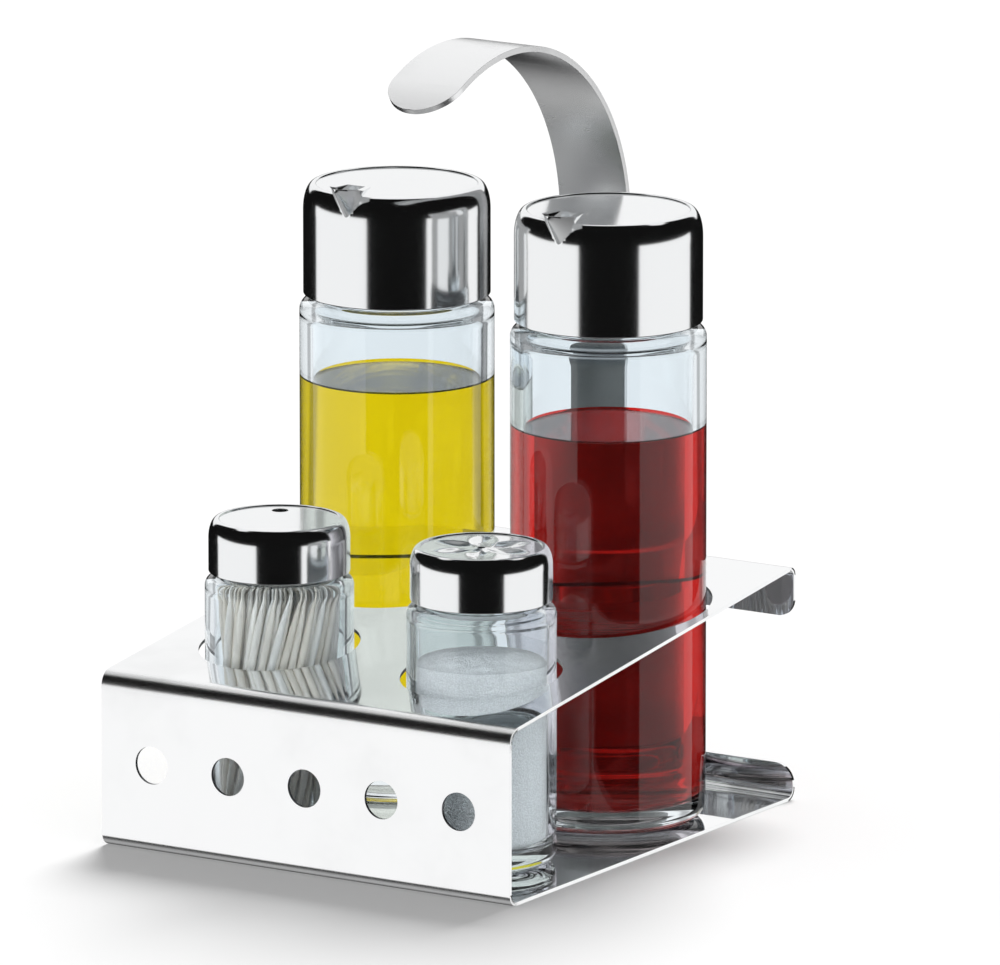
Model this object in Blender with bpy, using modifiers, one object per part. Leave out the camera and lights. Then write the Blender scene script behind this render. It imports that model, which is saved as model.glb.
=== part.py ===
"""Cruet set: a folded steel stand with a hooked handle, two pouring bottles, a salt jar and a
toothpick jar.  X runs to the right of the stand, its front faces -Y, and it stands on Z = 0."""

import math

import bmesh
import bpy
from mathutils import Vector

MM = 0.001
ROUND = 24  # facets of everything that turns about a container's axis

# Folded sheet of the stand
SHEET = 1.0 * MM
WIDTH = 134.6 * MM
FRONT_Y = -76.85 * MM
BACK_Y = 73.55 * MM
FRONT_HEIGHT = 49.7 * MM
BACK_HEIGHT = 68.2 * MM
UPPER_LIP = 14.9 * MM
LOWER_LIP = 10.2 * MM
BEND_BACK_TOP = 2.6 * MM
BEND_FRONT_TOP = 4.5 * MM
BEND_FRONT_BOTTOM = 3.5 * MM
BEND_BACK_BOTTOM = 3.5 * MM
UPPER_LIP_CORNER = 5.0 * MM
LOWER_LIP_CORNER = 6.0 * MM
WINDOWS = 5
WINDOW_PITCH = 25.3 * MM
WINDOW_RADIUS = 5.4 * MM
WINDOW_Z = 25.1 * MM
HOLE_CLEARANCE = 1.8 * MM

# Handle strip, riveted behind the two lips
GAP = 0.3 * MM  # between pieces that touch on the real object
STRIP = 1.7 * MM
STRIP_WIDTH = 22.7 * MM
STRIP_BACK_Y = BACK_Y + GAP + STRIP
STRIP_FOOT_Z = 1.2 * MM
HOOK_RADIUS = 61.5 * MM
HOOK_CENTRE_Z = 158.2 * MM
HOOK_OVERHANG = math.radians(37)  # past the crest
FOOT_CORNER = 3.0 * MM
RISE_STEPS, OVERHANG_STEPS, ROUND_END_STEPS = 16, 6, 8
ROUND_END_TURN = math.radians(86)  # just short of a point

# Rivets
RIVET_RADIUS = 1.5 * MM
RIVET_HOLE_RADIUS = RIVET_RADIUS + GAP
RIVET_HEAD = (2.7 * MM, 1.0 * MM)  # radius, height
RIVET_TAIL = (2.3 * MM, 0.8 * MM)
RIVET_X = 6.0 * MM
RIVET_ROWS = {"upper": 59.6 * MM, "lower": 6.3 * MM}

# Where the containers stand
BOTTLE_X, BOTTLE_Y = 35.1 * MM, 25.4 * MM
JAR_X, JAR_Y = 33.4 * MM, -38.0 * MM
STANDING_Z = SHEET + GAP

# A bottle rises past the handle on a wide arc that leans it outwards
LIFT_ARM = 620.0 * MM
LIFT_AXIS_Z = 29.5 * MM

# Sizes above a container's own foot
BOTTLE = {
    "radius": 27.5 * MM, "wall": 3.7 * MM, "floor": 6.0 * MM, "heel": 4.5 * MM,
    "side_top": 137.4 * MM, "shoulder": 3.4 * MM,
    "neck_radius": 22.0 * MM, "neck_bore": 18.5 * MM, "neck_top": 155.5 * MM,
    "lead": 4.2 * MM, "turns": 1.5, "ridge": 1.0 * MM, "ridge_z": 144.8 * MM,
    "cap_radius": 26.4 * MM, "cap_rim": 142.1 * MM, "cap_top": 173.7 * MM,
    "round_in": 3.0 * MM, "round_down": 7.5 * MM, "cap_wall": 0.8 * MM,
    "seal": 1.0 * MM, "web": 1.5 * MM, "web_bore": 8.5 * MM, "liner_rise": 1.4 * MM,
}
JAR = {
    "radius": 20.85 * MM, "wall": 2.6 * MM, "floor": 5.0 * MM, "heel": 3.6 * MM,
    "side_top": 70.2 * MM, "shoulder": 2.6 * MM,
    "neck_radius": 15.8 * MM, "neck_bore": 13.6 * MM, "neck_top": 83.2 * MM,
    "lead": 3.2 * MM, "turns": 1.25, "ridge": 0.9 * MM, "ridge_z": 76.0 * MM,
    "cap_radius": 19.8 * MM, "cap_rim": 74.2 * MM, "cap_top": 89.2 * MM,
    "round_in": 2.4 * MM, "round_down": 5.5 * MM, "cap_wall": 0.7 * MM,
    "seal": 0.9 * MM, "web": 1.2 * MM, "web_bore": 13.7 * MM, "liner_rise": 0.9 * MM,
}
FLOOR_CROWN = 0.8 * MM  # rise of a container's inner floor at its middle
THREAD_PLAY = 0.4 * MM
THREAD_ROOT = 0.8 * MM  # how deep a ridge is rooted in its wall
LINER_PLAY = 0.35 * MM
LINER_CHAMFER_IN, LINER_CHAMFER_DOWN = 0.9 * MM, 2.2 * MM
OIL_LEVEL = 117.7 * MM
VINEGAR_LEVEL = 111.7 * MM
SALT_LEVEL = 57.0 * MM
SALT_MOUND = 3.5 * MM

# Pouring nib on each bottle cap, from the cap's axis and top
NIB_REACH = 32.0 * MM
NIB_RISE = 3.2 * MM
NIB_COLLAR = 2.5 * MM  # height of its rim everywhere but at the tip
NIB_HALF_WIDTH = 5.6 * MM
NIB_DEPTH = 6.2 * MM
NIB_ROOT_Y = 20.0 * MM
NIB_WALL = 0.8 * MM

SALT_HOLE_RADIUS = 1.1 * MM
SALT_HOLE_RING = 8.0 * MM
SALT_HOLES = 6
PICK_HOLE_RADIUS = 2.3 * MM
PICK_HOLE_RING = 11.2 * MM
PICK_HOLE_ANGLE = math.radians(122)

# Toothpicks, all leaning the same way
PICKS = 30
PICK_RADIUS = 1.0 * MM
PICK_TIP_RADIUS = 0.35 * MM
PICK_LENGTH = 65.0 * MM
PICK_POINT = 9.0 * MM
PICK_PITCH = 3.0 * MM
PICK_LEAN = math.radians(11)
PICK_LEAN_ANGLE = math.radians(-20)

STEEL = ((0.80, 0.81, 0.82), 0.08, 1.0)
HANDLE_STEEL = ((0.76, 0.77, 0.78), 0.10, 1.0)
RIVET_STEEL = ((0.62, 0.63, 0.64), 0.25, 1.0)
CHROME = ((0.86, 0.87, 0.88), 0.04, 1.0)
GLASS = ((0.80, 0.88, 0.90), 0.05, 0.0)
OIL = ((0.86, 0.68, 0.06), 0.10, 0.0)
VINEGAR = ((0.50, 0.03, 0.03), 0.10, 0.0)
SALT = ((0.93, 0.93, 0.93), 0.70, 0.0)
WOOD = ((0.84, 0.67, 0.45), 0.60, 0.0)
LINER_PLASTIC = ((0.88, 0.88, 0.86), 0.40, 0.0)
SEAL_RUBBER = ((0.80, 0.80, 0.76), 0.60, 0.0)


def clear_scene():
    for obj in list(bpy.data.objects):
        bpy.data.objects.remove(obj, do_unlink=True)


def new_collection(name):
    collection = bpy.data.collections.new(name)
    bpy.context.scene.collection.children.link(collection)
    return collection


def material(name, finish):
    colour, roughness, metallic = finish
    mat = bpy.data.materials.new(name)
    mat.use_nodes = True
    bsdf = mat.node_tree.nodes["Principled BSDF"]
    bsdf.inputs["Base Color"].default_value = (*colour, 1.0)
    bsdf.inputs["Roughness"].default_value = roughness
    bsdf.inputs["Metallic"].default_value = metallic
    mat.diffuse_color = (*colour, 1.0)
    return mat


def add_object(name, mesh, collection, finish, location=(0, 0, 0), smooth=True):
    obj = bpy.data.objects.new(name, mesh)
    obj.location = location
    collection.objects.link(obj)
    if smooth:
        mesh.shade_smooth()
        mesh.set_sharp_from_angle(angle=math.radians(35))
    if not mesh.materials:
        mesh.materials.append(material(name, finish))
    return obj


def mesh_from(bm, name):
    mesh = bpy.data.meshes.new(name)
    bm.to_mesh(mesh)
    bm.free()
    return mesh


def add_cutter(name, mesh, location=(0, 0, 0)):
    cutter = bpy.data.objects.new(name, mesh)
    cutter.location = location
    cutter.hide_render = True
    cutter.display_type = "WIRE"
    cutters.objects.link(cutter)
    return cutter


def boolean(obj, cutter, operation="DIFFERENCE"):
    modifier = obj.modifiers.new(f"{operation.lower()} {cutter.name}", "BOOLEAN")
    modifier.operation = operation
    modifier.object = cutter
    modifier.solver = "EXACT"


def cylinder_mesh(name, radius, height, segments):
    """A closed cylinder standing on its origin."""
    bm = bmesh.new()
    bmesh.ops.create_cone(bm, cap_ends=True, segments=segments, radius1=radius, radius2=radius, depth=height)
    bmesh.ops.translate(bm, verts=bm.verts, vec=(0, 0, height / 2))
    return mesh_from(bm, name)


def turned(name, profile, collection, finish, location, closed=False):
    """A profile of (radius, height) points, swept about Z by a Screw modifier."""
    bm = bmesh.new()
    verts = [bm.verts.new((radius, 0, z)) for radius, z in profile]
    for start, end in zip(verts, verts[1:]):
        bm.edges.new((start, end))
    if closed:
        bm.edges.new((verts[-1], verts[0]))
    obj = add_object(name, mesh_from(bm, name), collection, finish, location, smooth=False)
    screw = obj.modifiers.new("turn", "SCREW")
    screw.axis = "Z"
    screw.steps = screw.render_steps = ROUND
    screw.use_merge_vertices = True
    screw.merge_threshold = 0.00001
    screw.use_normal_calculate = False
    screw.use_smooth_shade = True
    return obj


def arc(centre_r, centre_z, radius, start, end, steps=4, height=None):
    """Points of a round or, with a height of its own, elliptic arc in the profile plane."""
    height = height or radius
    points = []
    for step in range(steps + 1):
        angle = math.radians(start + (end - start) * step / steps)
        points.append((centre_r + radius * math.cos(angle), centre_z + height * math.sin(angle)))
    return points


def rounded_path(corners, radii, steps=5):
    """An open path in (y, z) through the corners, each inner one rounded by its radius."""
    points = [corners[0]]
    for before, corner, after, radius in zip(corners, corners[1:], corners[2:], radii):
        here = Vector(corner)
        into = (here - Vector(before)).normalized()
        out = (Vector(after) - here).normalized()
        turn = into.angle(out)
        setback = radius * math.tan(turn / 2)
        start = here - into * setback
        side = Vector((-into.y, into.x))
        if side.dot(out) < 0:
            side.negate()
        centre = start + side * radius
        for step in range(steps + 1):
            angle = turn * step / steps
            points.append(tuple(centre - side * radius * math.cos(angle) + into * radius * math.sin(angle)))
    points.append(corners[-1])
    return points


def strip_mesh(name, rows):
    """An open strip through (y, z, half width) rows, facing outwards where the path climbs at the back."""
    bm = bmesh.new()
    pairs = [(bm.verts.new((half, y, z)), bm.verts.new((-half, y, z))) for y, z, half in rows]
    for (right, left), (next_right, next_left) in zip(pairs, pairs[1:]):
        bm.faces.new((right, left, next_left, next_right))
    return bm, pairs


def thicken(obj, thickness):
    solidify = obj.modifiers.new("thickness", "SOLIDIFY")
    solidify.thickness = thickness
    solidify.offset = -1
    solidify.use_even_offset = True


def stand_sheet():
    corners = [
        (BACK_Y, BACK_HEIGHT - UPPER_LIP), (BACK_Y, BACK_HEIGHT), (FRONT_Y, FRONT_HEIGHT),
        (FRONT_Y, 0), (BACK_Y, 0), (BACK_Y, LOWER_LIP),
    ]
    radii = [BEND_BACK_TOP, BEND_FRONT_TOP, BEND_FRONT_BOTTOM, BEND_BACK_BOTTOM]
    rows = [(y, z, WIDTH / 2) for y, z in rounded_path(corners, radii)]
    bm, pairs = strip_mesh("stand_sheet", rows)
    for pair, radius in ((pairs[0], UPPER_LIP_CORNER), (pairs[-1], LOWER_LIP_CORNER)):
        bmesh.ops.bevel(bm, geom=list(pair), offset=radius, segments=5, affect="VERTICES", profile=0.5)
    sheet = add_object("stand_sheet", mesh_from(bm, "stand_sheet"), parts, STEEL)
    thicken(sheet, SHEET)

    for index in range(WINDOWS):
        x = (index - (WINDOWS - 1) / 2) * WINDOW_PITCH
        window = cylinder_mesh(f"window_{index}", WINDOW_RADIUS, 4 * SHEET, 24)
        cutter = add_cutter(window.name, window, (x, FRONT_Y + 2.5 * SHEET, WINDOW_Z))
        cutter.rotation_euler.x = math.radians(90)
        boolean(sheet, cutter)
    for side in (-1, 1):
        for name, x, y, spec in (("bottle", BOTTLE_X, BOTTLE_Y, BOTTLE), ("jar", JAR_X, JAR_Y, JAR)):
            radius = spec["radius"] + HOLE_CLEARANCE
            mesh = cylinder_mesh(f"{name}_hole_{side}", radius, BACK_HEIGHT, ROUND)
            boolean(sheet, add_cutter(mesh.name, mesh, (side * x, y, FRONT_HEIGHT / 2)))
    drill_rivet_holes(sheet)


def drill_rivet_holes(obj):
    for row, z in RIVET_ROWS.items():
        for side in (-1, 1):
            mesh = cylinder_mesh(f"{obj.name}_{row}_{side}", RIVET_HOLE_RADIUS, 8 * SHEET, 12)
            cutter = add_cutter(mesh.name, mesh, (side * RIVET_X, BACK_Y + 5 * SHEET, z))
            cutter.rotation_euler.x = math.radians(90)
            boolean(obj, cutter)


def handle_strip():
    """Straight up the back, then a hook over the caps that ends in a full round."""
    half = STRIP_WIDTH / 2
    centre_y = STRIP_BACK_Y - HOOK_RADIUS
    rows = [(STRIP_BACK_Y, STRIP_FOOT_Z, half), (STRIP_BACK_Y, BACK_HEIGHT + 5 * STRIP, half)]
    crest = math.radians(90)
    round_start = crest + HOOK_OVERHANG - half / HOOK_RADIUS
    places = [(crest * step / RISE_STEPS, half) for step in range(RISE_STEPS + 1)]
    for step in range(1, OVERHANG_STEPS + 1):
        places.append((crest + (round_start - crest) * step / OVERHANG_STEPS, half))
    for step in range(1, ROUND_END_STEPS + 1):
        turn = ROUND_END_TURN * step / ROUND_END_STEPS
        places.append((round_start + half * math.sin(turn) / HOOK_RADIUS, half * math.cos(turn)))
    for angle, width in places:
        y = centre_y + HOOK_RADIUS * math.cos(angle)
        rows.append((y, HOOK_CENTRE_Z + HOOK_RADIUS * math.sin(angle), width))
    bm, pairs = strip_mesh("handle_strip", rows)
    bmesh.ops.bevel(bm, geom=list(pairs[0]), offset=FOOT_CORNER, segments=3, affect="VERTICES", profile=0.5)
    strip = add_object("handle_strip", mesh_from(bm, "handle_strip"), parts, HANDLE_STEEL)
    thicken(strip, STRIP)
    drill_rivet_holes(strip)


def handle_rivets():
    head_radius, head_height = RIVET_HEAD
    tail_radius, tail_height = RIVET_TAIL
    grip = SHEET + GAP + STRIP + 2 * GAP
    profile = [
        (0, grip + head_height), (head_radius * 0.8, grip + head_height), (head_radius, grip + head_height * 0.6),
        (head_radius, grip), (RIVET_RADIUS, grip), (RIVET_RADIUS, 0), (tail_radius, 0),
        (tail_radius, -tail_height), (0, -tail_height),
    ]
    shared = None
    for row, z in RIVET_ROWS.items():
        for side, hand in ((-1, "left"), (1, "right")):
            name = f"handle_rivet_{row}_{hand}"
            location = (side * RIVET_X, BACK_Y - SHEET - GAP, z)
            rivet = turned(name, profile, parts, RIVET_STEEL, location)
            rivet.modifiers["turn"].steps = rivet.modifiers["turn"].render_steps = 12
            rivet.rotation_euler.x = math.radians(-90)
            if shared:
                rivet.data = shared
            shared = rivet.data


def glass_profile(spec):
    """From the middle of the floor up the inner wall, over the mouth and down the outside."""
    radius, wall, heel = spec["radius"], spec["wall"], spec["heel"]
    inner = radius - wall
    side_top, shoulder = spec["side_top"], spec["shoulder"]
    ledge_z = side_top + shoulder
    foot = radius - heel
    return [
        (0, spec["floor"] + FLOOR_CROWN),
        (inner - heel, spec["floor"]),
        *arc(inner - heel, spec["floor"] + heel, heel, -90, 0, 3)[1:],
        (inner, side_top - wall),
        *arc(spec["neck_bore"], side_top - wall, inner - spec["neck_bore"], 0, 90, 3)[1:],
        (spec["neck_bore"], spec["neck_top"]),
        (spec["neck_radius"], spec["neck_top"]),
        (spec["neck_radius"], ledge_z + 0.4 * MM),
        (radius - shoulder, ledge_z),
        *arc(radius - shoulder, side_top, shoulder, 90, 0, 3)[1:],
        (radius, heel),
        *arc(foot, heel, heel, 0, -90, 3)[1:],
        (foot - 2.5 * MM, 0),
        (foot - 5 * MM, 1.2 * MM),
        (0, 2.2 * MM),
    ]


def thread_ridge(name, root, crest, spec, start_z, turns):
    """A closed helical ridge of trapezoid section, running out at both ends, for a Boolean union."""
    steps = int(ROUND * turns)
    run_out = 4
    bm = bmesh.new()
    sections = []
    for step in range(steps + 1):
        angle = 2 * math.pi * step / ROUND
        z = start_z + spec["lead"] * step / ROUND
        share = min(1.0, (min(step, steps - step) + 0.5) / run_out)
        tip = root + (crest - root) * (0.35 + 0.65 * share)
        wide, narrow = 0.20 * spec["lead"], 0.10 * spec["lead"]
        section = []
        for radius, offset in ((root, -wide), (tip, -narrow), (tip, narrow), (root, wide)):
            section.append(bm.verts.new((radius * math.cos(angle), radius * math.sin(angle), z + offset)))
        sections.append(section)
    for here, there in zip(sections, sections[1:]):
        for index in range(4):
            after = (index + 1) % 4
            bm.faces.new((here[index], here[after], there[after], there[index]))
    bm.faces.new(sections[0])
    bm.faces.new(reversed(sections[-1]))
    bmesh.ops.recalc_face_normals(bm, faces=bm.faces)
    return mesh_from(bm, name)


def glass_container(name, spec, place):
    glass = turned(name, glass_profile(spec), parts, GLASS, place)
    root = spec["neck_radius"] - THREAD_ROOT
    crest = spec["neck_radius"] + spec["ridge"]
    ridge = thread_ridge(f"{name}_thread", root, crest, spec, spec["ridge_z"], spec["turns"])
    boolean(glass, add_cutter(ridge.name, ridge, place), "UNION")
    return glass


def liquid(name, spec, level, finish, place):
    """A liquid that fills the container up to its level, a hair's gap inside the glass."""
    inner = spec["radius"] - spec["wall"] - GAP
    floor = spec["floor"] + FLOOR_CROWN + GAP
    corner = spec["heel"]
    profile = [
        (0, level), (inner, level), (inner, floor + corner),
        *arc(inner - corner, floor + corner, corner, 0, -90, 3)[1:],
        (0, floor),
    ]
    return turned(name, profile, parts, finish, place)


def salt_fill(place):
    inner = JAR["radius"] - JAR["wall"] - GAP
    floor = JAR["floor"] + FLOOR_CROWN + GAP
    corner = JAR["heel"]
    profile = [
        (0, SALT_LEVEL + SALT_MOUND), (inner * 0.5, SALT_LEVEL + SALT_MOUND * 0.75), (inner, SALT_LEVEL),
        (inner, floor + corner),
        *arc(inner - corner, floor + corner, corner, 0, -90, 3)[1:],
        (0, floor),
    ]
    return turned("salt", profile, parts, SALT, place)


def cap_seal(name, spec, place):
    low = spec["neck_top"] + GAP
    high = low + spec["seal"]
    inner, outer = spec["neck_bore"] + 0.2 * MM, spec["neck_radius"] + 0.2 * MM
    profile = [(outer, high), (outer, low), (inner, low), (inner, high)]
    return turned(name, profile, parts, SEAL_RUBBER, place, closed=True)


def cap_liner(name, spec, place):
    """The threaded plastic insert that carries the metal shell."""
    bore = spec["neck_radius"] + spec["ridge"] + THREAD_PLAY
    outer = spec["cap_radius"] - spec["cap_wall"] - LINER_PLAY
    web_low = spec["neck_top"] + GAP + spec["seal"] + GAP
    web_high = web_low + spec["web"]
    top = web_high + spec["liner_rise"]
    bottom = spec["cap_rim"] + 0.5 * MM
    profile = [
        (outer - LINER_CHAMFER_IN, top), (outer, top - LINER_CHAMFER_DOWN), (outer, bottom),
        (bore, bottom), (bore, web_low),
        (spec["web_bore"], web_low), (spec["web_bore"], web_high), (bore, web_high), (bore, top),
    ]
    liner = turned(name, profile, parts, LINER_PLASTIC, place, closed=True)
    crest = spec["neck_radius"] + THREAD_PLAY
    start_z = spec["ridge_z"] + spec["lead"] / 2
    ridge = thread_ridge(f"{name}_thread", bore + THREAD_ROOT, crest, spec, start_z, 1.0)
    boolean(liner, add_cutter(ridge.name, ridge, place), "UNION")
    return liner


def cap_shell(name, spec, place):
    """The drawn metal cap, with an upright quarter ellipse for its shoulder."""
    radius, wall = spec["cap_radius"], spec["cap_wall"]
    top, rim = spec["cap_top"], spec["cap_rim"]
    across, down = spec["round_in"], spec["round_down"]
    profile = [
        (0, top),
        *arc(radius - across, top - down, across, 90, 0, 5, height=down),
        (radius, rim),
        (radius - wall, rim),
        *arc(radius - across, top - down, across - wall, 0, 90, 5, height=down - wall),
        (0, top - wall),
    ]
    return turned(name, profile, parts, CHROME, place)


def hull_mesh(name, points):
    bm = bmesh.new()
    for point in points:
        bm.verts.new(point)
    hull = bmesh.ops.convex_hull(bm, input=bm.verts)
    unused = [item for item in hull["geom_interior"] + hull["geom_unused"] if isinstance(item, bmesh.types.BMVert)]
    bmesh.ops.delete(bm, geom=unused, context="VERTS")
    bmesh.ops.recalc_face_normals(bm, faces=bm.faces)
    return mesh_from(bm, name)


def add_nib(shell, place):
    """A V-shaped pouring nib with a raised rim at the front of the cap, open on top and into the cap."""
    top, wall = BOTTLE["cap_top"], NIB_WALL
    shell_y = BOTTLE["cap_radius"] - BOTTLE["cap_wall"]
    outside = [
        (0, -NIB_REACH, top + NIB_RISE),
        (NIB_HALF_WIDTH, -shell_y, top + NIB_COLLAR),
        (-NIB_HALF_WIDTH, -shell_y, top + NIB_COLLAR),
        (0.8 * NIB_HALF_WIDTH, -NIB_ROOT_Y, top + NIB_COLLAR),
        (-0.8 * NIB_HALF_WIDTH, -NIB_ROOT_Y, top + NIB_COLLAR),
        (0.8 * NIB_HALF_WIDTH, -NIB_ROOT_Y, top - 0.2 * MM),
        (-0.8 * NIB_HALF_WIDTH, -NIB_ROOT_Y, top - 0.2 * MM),
        (0, -shell_y - wall, top - NIB_DEPTH),
        (0, -shell_y, top - NIB_DEPTH),
    ]
    above = top + 2 * NIB_RISE
    half = NIB_HALF_WIDTH - 1.3 * wall
    inside = [
        (0, -NIB_REACH + 1.1 * wall, above),
        (half, -shell_y, above),
        (-half, -shell_y, above),
        (0.7 * half, -NIB_ROOT_Y - wall, above),
        (-0.7 * half, -NIB_ROOT_Y - wall, above),
        (0.7 * half, -NIB_ROOT_Y - wall, top - 3 * wall),
        (-0.7 * half, -NIB_ROOT_Y - wall, top - 3 * wall),
        (0, -shell_y, top - NIB_DEPTH + 1.6 * wall),
        (0, -NIB_ROOT_Y - wall, top - NIB_DEPTH + 1.6 * wall),
    ]
    solid = hull_mesh(f"{shell.name}_nib", outside)
    boolean(shell, add_cutter(solid.name, solid, place), "UNION")
    trough = hull_mesh(f"{shell.name}_trough", inside)
    boolean(shell, add_cutter(trough.name, trough, place))


def pierce(shell, name, place, ring, angle, radius, segments=12):
    x, y = ring * math.cos(angle), ring * math.sin(angle)
    mesh = cylinder_mesh(name, radius, 4 * MM, segments)
    top = JAR["cap_top"] - 2 * MM
    boolean(shell, add_cutter(mesh.name, mesh, (place[0] + x, place[1] + y, place[2] + top)))


def hex_spots(count, pitch):
    """The points of a hexagonal grid nearest its middle, nearest first."""
    reach = range(-5, 6)
    spots = [((a + b / 2) * pitch, b * pitch * math.sqrt(3) / 2) for a in reach for b in reach]
    return sorted(spots, key=lambda spot: (round(math.hypot(*spot), 7), math.atan2(spot[1], spot[0])))[:count]


def toothpicks(place):
    bm = bmesh.new()
    rings = (
        (-PICK_LENGTH / 2, PICK_TIP_RADIUS), (-PICK_LENGTH / 2 + PICK_POINT, PICK_RADIUS),
        (PICK_LENGTH / 2 - PICK_POINT, PICK_RADIUS), (PICK_LENGTH / 2, PICK_TIP_RADIUS),
    )
    loops = []
    for z, radius in rings:
        corners = [math.radians(60 * side) for side in range(6)]
        loops.append([bm.verts.new((radius * math.cos(a), radius * math.sin(a), z)) for a in corners])
    for low, high in zip(loops, loops[1:]):
        for side in range(6):
            after = (side + 1) % 6
            bm.faces.new((low[side], low[after], high[after], high[side]))
    bm.faces.new(reversed(loops[0]))
    bm.faces.new(loops[-1])
    mesh = mesh_from(bm, "toothpick")
    middle_z = JAR["floor"] + 1.5 * MM + PICK_LENGTH / 2
    picks = []
    for index, (x, y) in enumerate(hex_spots(PICKS, PICK_PITCH)):
        location = (place[0] + x, place[1] + y, place[2] + middle_z)
        pick = add_object(f"toothpick_{index + 1:02d}", mesh, parts, WOOD, location, smooth=False)
        pick.rotation_euler = (0, PICK_LEAN, PICK_LEAN_ANGLE)
        picks.append(pick)
    return picks


def joint_empty(name, location, children, parent=None):
    """An empty on the joint's axis that carries the pieces which move about it."""
    empty = bpy.data.objects.new(name, None)
    empty.location = location
    joints.objects.link(empty)
    bpy.context.view_layer.update()
    for child in children:
        child.parent = empty
        child.matrix_parent_inverse = empty.matrix_world.inverted()
    if parent:
        empty.parent = parent
        empty.matrix_parent_inverse = parent.matrix_world.inverted()
    bpy.context.view_layer.update()
    return empty


def capped_container(kind, side, vessel, x, y, spec, contents):
    """One container with its contents and cap; the cap turns on the container and both lift together."""
    place = Vector((side * x, y, STANDING_Z))
    glass = glass_container(f"{kind}_{vessel}", spec, place)
    filling = contents(place)
    seal = cap_seal(f"{kind}_cap_seal", spec, place)
    liner = cap_liner(f"{kind}_cap_liner", spec, place)
    shell = cap_shell(f"{kind}_cap_shell", spec, place)
    if vessel == "bottle":
        lift_axis = (side * (x + LIFT_ARM), y, LIFT_AXIS_Z)
        add_nib(shell, place)
    else:
        lift_axis = tuple(place)
    lift = joint_empty(f"{kind}_lift", lift_axis, [glass, *filling])
    rise = joint_empty(f"{kind}_cap_rise", tuple(place), [seal], lift)
    joint_empty(f"{kind}_cap_turn", tuple(place), [liner, shell], rise)
    return shell, place


def main():
    stand_sheet()
    handle_strip()
    handle_rivets()
    capped_container(
        "oil", -1, "bottle", BOTTLE_X, BOTTLE_Y, BOTTLE,
        lambda place: [liquid("oil", BOTTLE, OIL_LEVEL, OIL, place)],
    )
    capped_container(
        "vinegar", 1, "bottle", BOTTLE_X, BOTTLE_Y, BOTTLE,
        lambda place: [liquid("vinegar", BOTTLE, VINEGAR_LEVEL, VINEGAR, place)],
    )
    shell, place = capped_container("toothpick", -1, "jar", JAR_X, JAR_Y, JAR, toothpicks)
    pierce(shell, "pick_hole", place, PICK_HOLE_RING, PICK_HOLE_ANGLE, PICK_HOLE_RADIUS, 16)
    shell, place = capped_container("salt", 1, "jar", JAR_X, JAR_Y, JAR, lambda place: [salt_fill(place)])
    pierce(shell, "salt_hole_middle", place, 0, 0, SALT_HOLE_RADIUS)
    for index in range(SALT_HOLES):
        angle = 2 * math.pi * index / SALT_HOLES
        pierce(shell, f"salt_hole_{index}", place, SALT_HOLE_RING, angle, SALT_HOLE_RADIUS)


clear_scene()
parts = new_collection("cruet_set")
joints = new_collection("joint_axes")
cutters = new_collection("cutters")
main()
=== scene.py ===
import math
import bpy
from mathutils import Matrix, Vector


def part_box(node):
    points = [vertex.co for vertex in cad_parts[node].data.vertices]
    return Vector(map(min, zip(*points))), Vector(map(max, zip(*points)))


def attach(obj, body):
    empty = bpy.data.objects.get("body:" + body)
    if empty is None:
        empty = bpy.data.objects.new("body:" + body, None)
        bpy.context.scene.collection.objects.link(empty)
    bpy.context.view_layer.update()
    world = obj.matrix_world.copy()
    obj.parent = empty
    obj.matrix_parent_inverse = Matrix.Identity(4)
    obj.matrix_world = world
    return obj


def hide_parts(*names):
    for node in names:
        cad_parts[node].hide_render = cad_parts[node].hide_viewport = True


bl_info = {
    "name": "Cruet Set Looks",
    "version": (1, 0, 0),
    "blender": (4, 5, 0),
    "location": "3D View > Sidebar > Cruet Set",
    "description": "Builds the visible pieces of a cruet set around its packed CAD frame",
    "category": "Object",
}

import bmesh
import bpy
from bpy.props import FloatProperty, FloatVectorProperty, IntProperty, PointerProperty
from bpy.types import Operator, Panel, PropertyGroup
from mathutils import Matrix, Vector, noise

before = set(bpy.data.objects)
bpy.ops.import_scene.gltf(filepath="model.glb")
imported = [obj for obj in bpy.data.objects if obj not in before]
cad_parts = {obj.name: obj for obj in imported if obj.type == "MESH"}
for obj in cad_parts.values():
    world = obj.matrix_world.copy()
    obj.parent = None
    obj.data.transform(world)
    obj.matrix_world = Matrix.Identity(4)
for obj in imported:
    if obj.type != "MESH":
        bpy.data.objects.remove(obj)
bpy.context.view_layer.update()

MM = 0.001
DAYLIGHT = 0.46  # strength of the even light on matt surfaces
GLASSED_DAYLIGHT = 2.7  # and on matt things behind glass, which the walls would else leave dull
ROUND = 128  # facets of a turned piece
SHEET_LOW, SHEET_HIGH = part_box("stand_sheet")
STRIP_LOW, STRIP_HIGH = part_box("handle_strip")
PICKS = sorted(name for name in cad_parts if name.startswith("toothpick_") and name[-2:].isdigit())
RIVETS = sorted(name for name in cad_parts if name.startswith("handle_rivet_"))
VESSELS = {"oil": "bottle", "vinegar": "bottle", "toothpick": "jar", "salt": "jar"}


def length(name, description, default):
    return FloatProperty(name=name, description=description, default=default, precision=5, unit="LENGTH")


def rotation(name, description, degrees):
    return FloatProperty(name=name, description=description, default=math.radians(degrees), unit="ROTATION")


def colour(name, description, default):
    return FloatVectorProperty(
        name=name, description=description, default=default, size=3, min=0.0, max=1.0, subtype="COLOR"
    )


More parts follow.
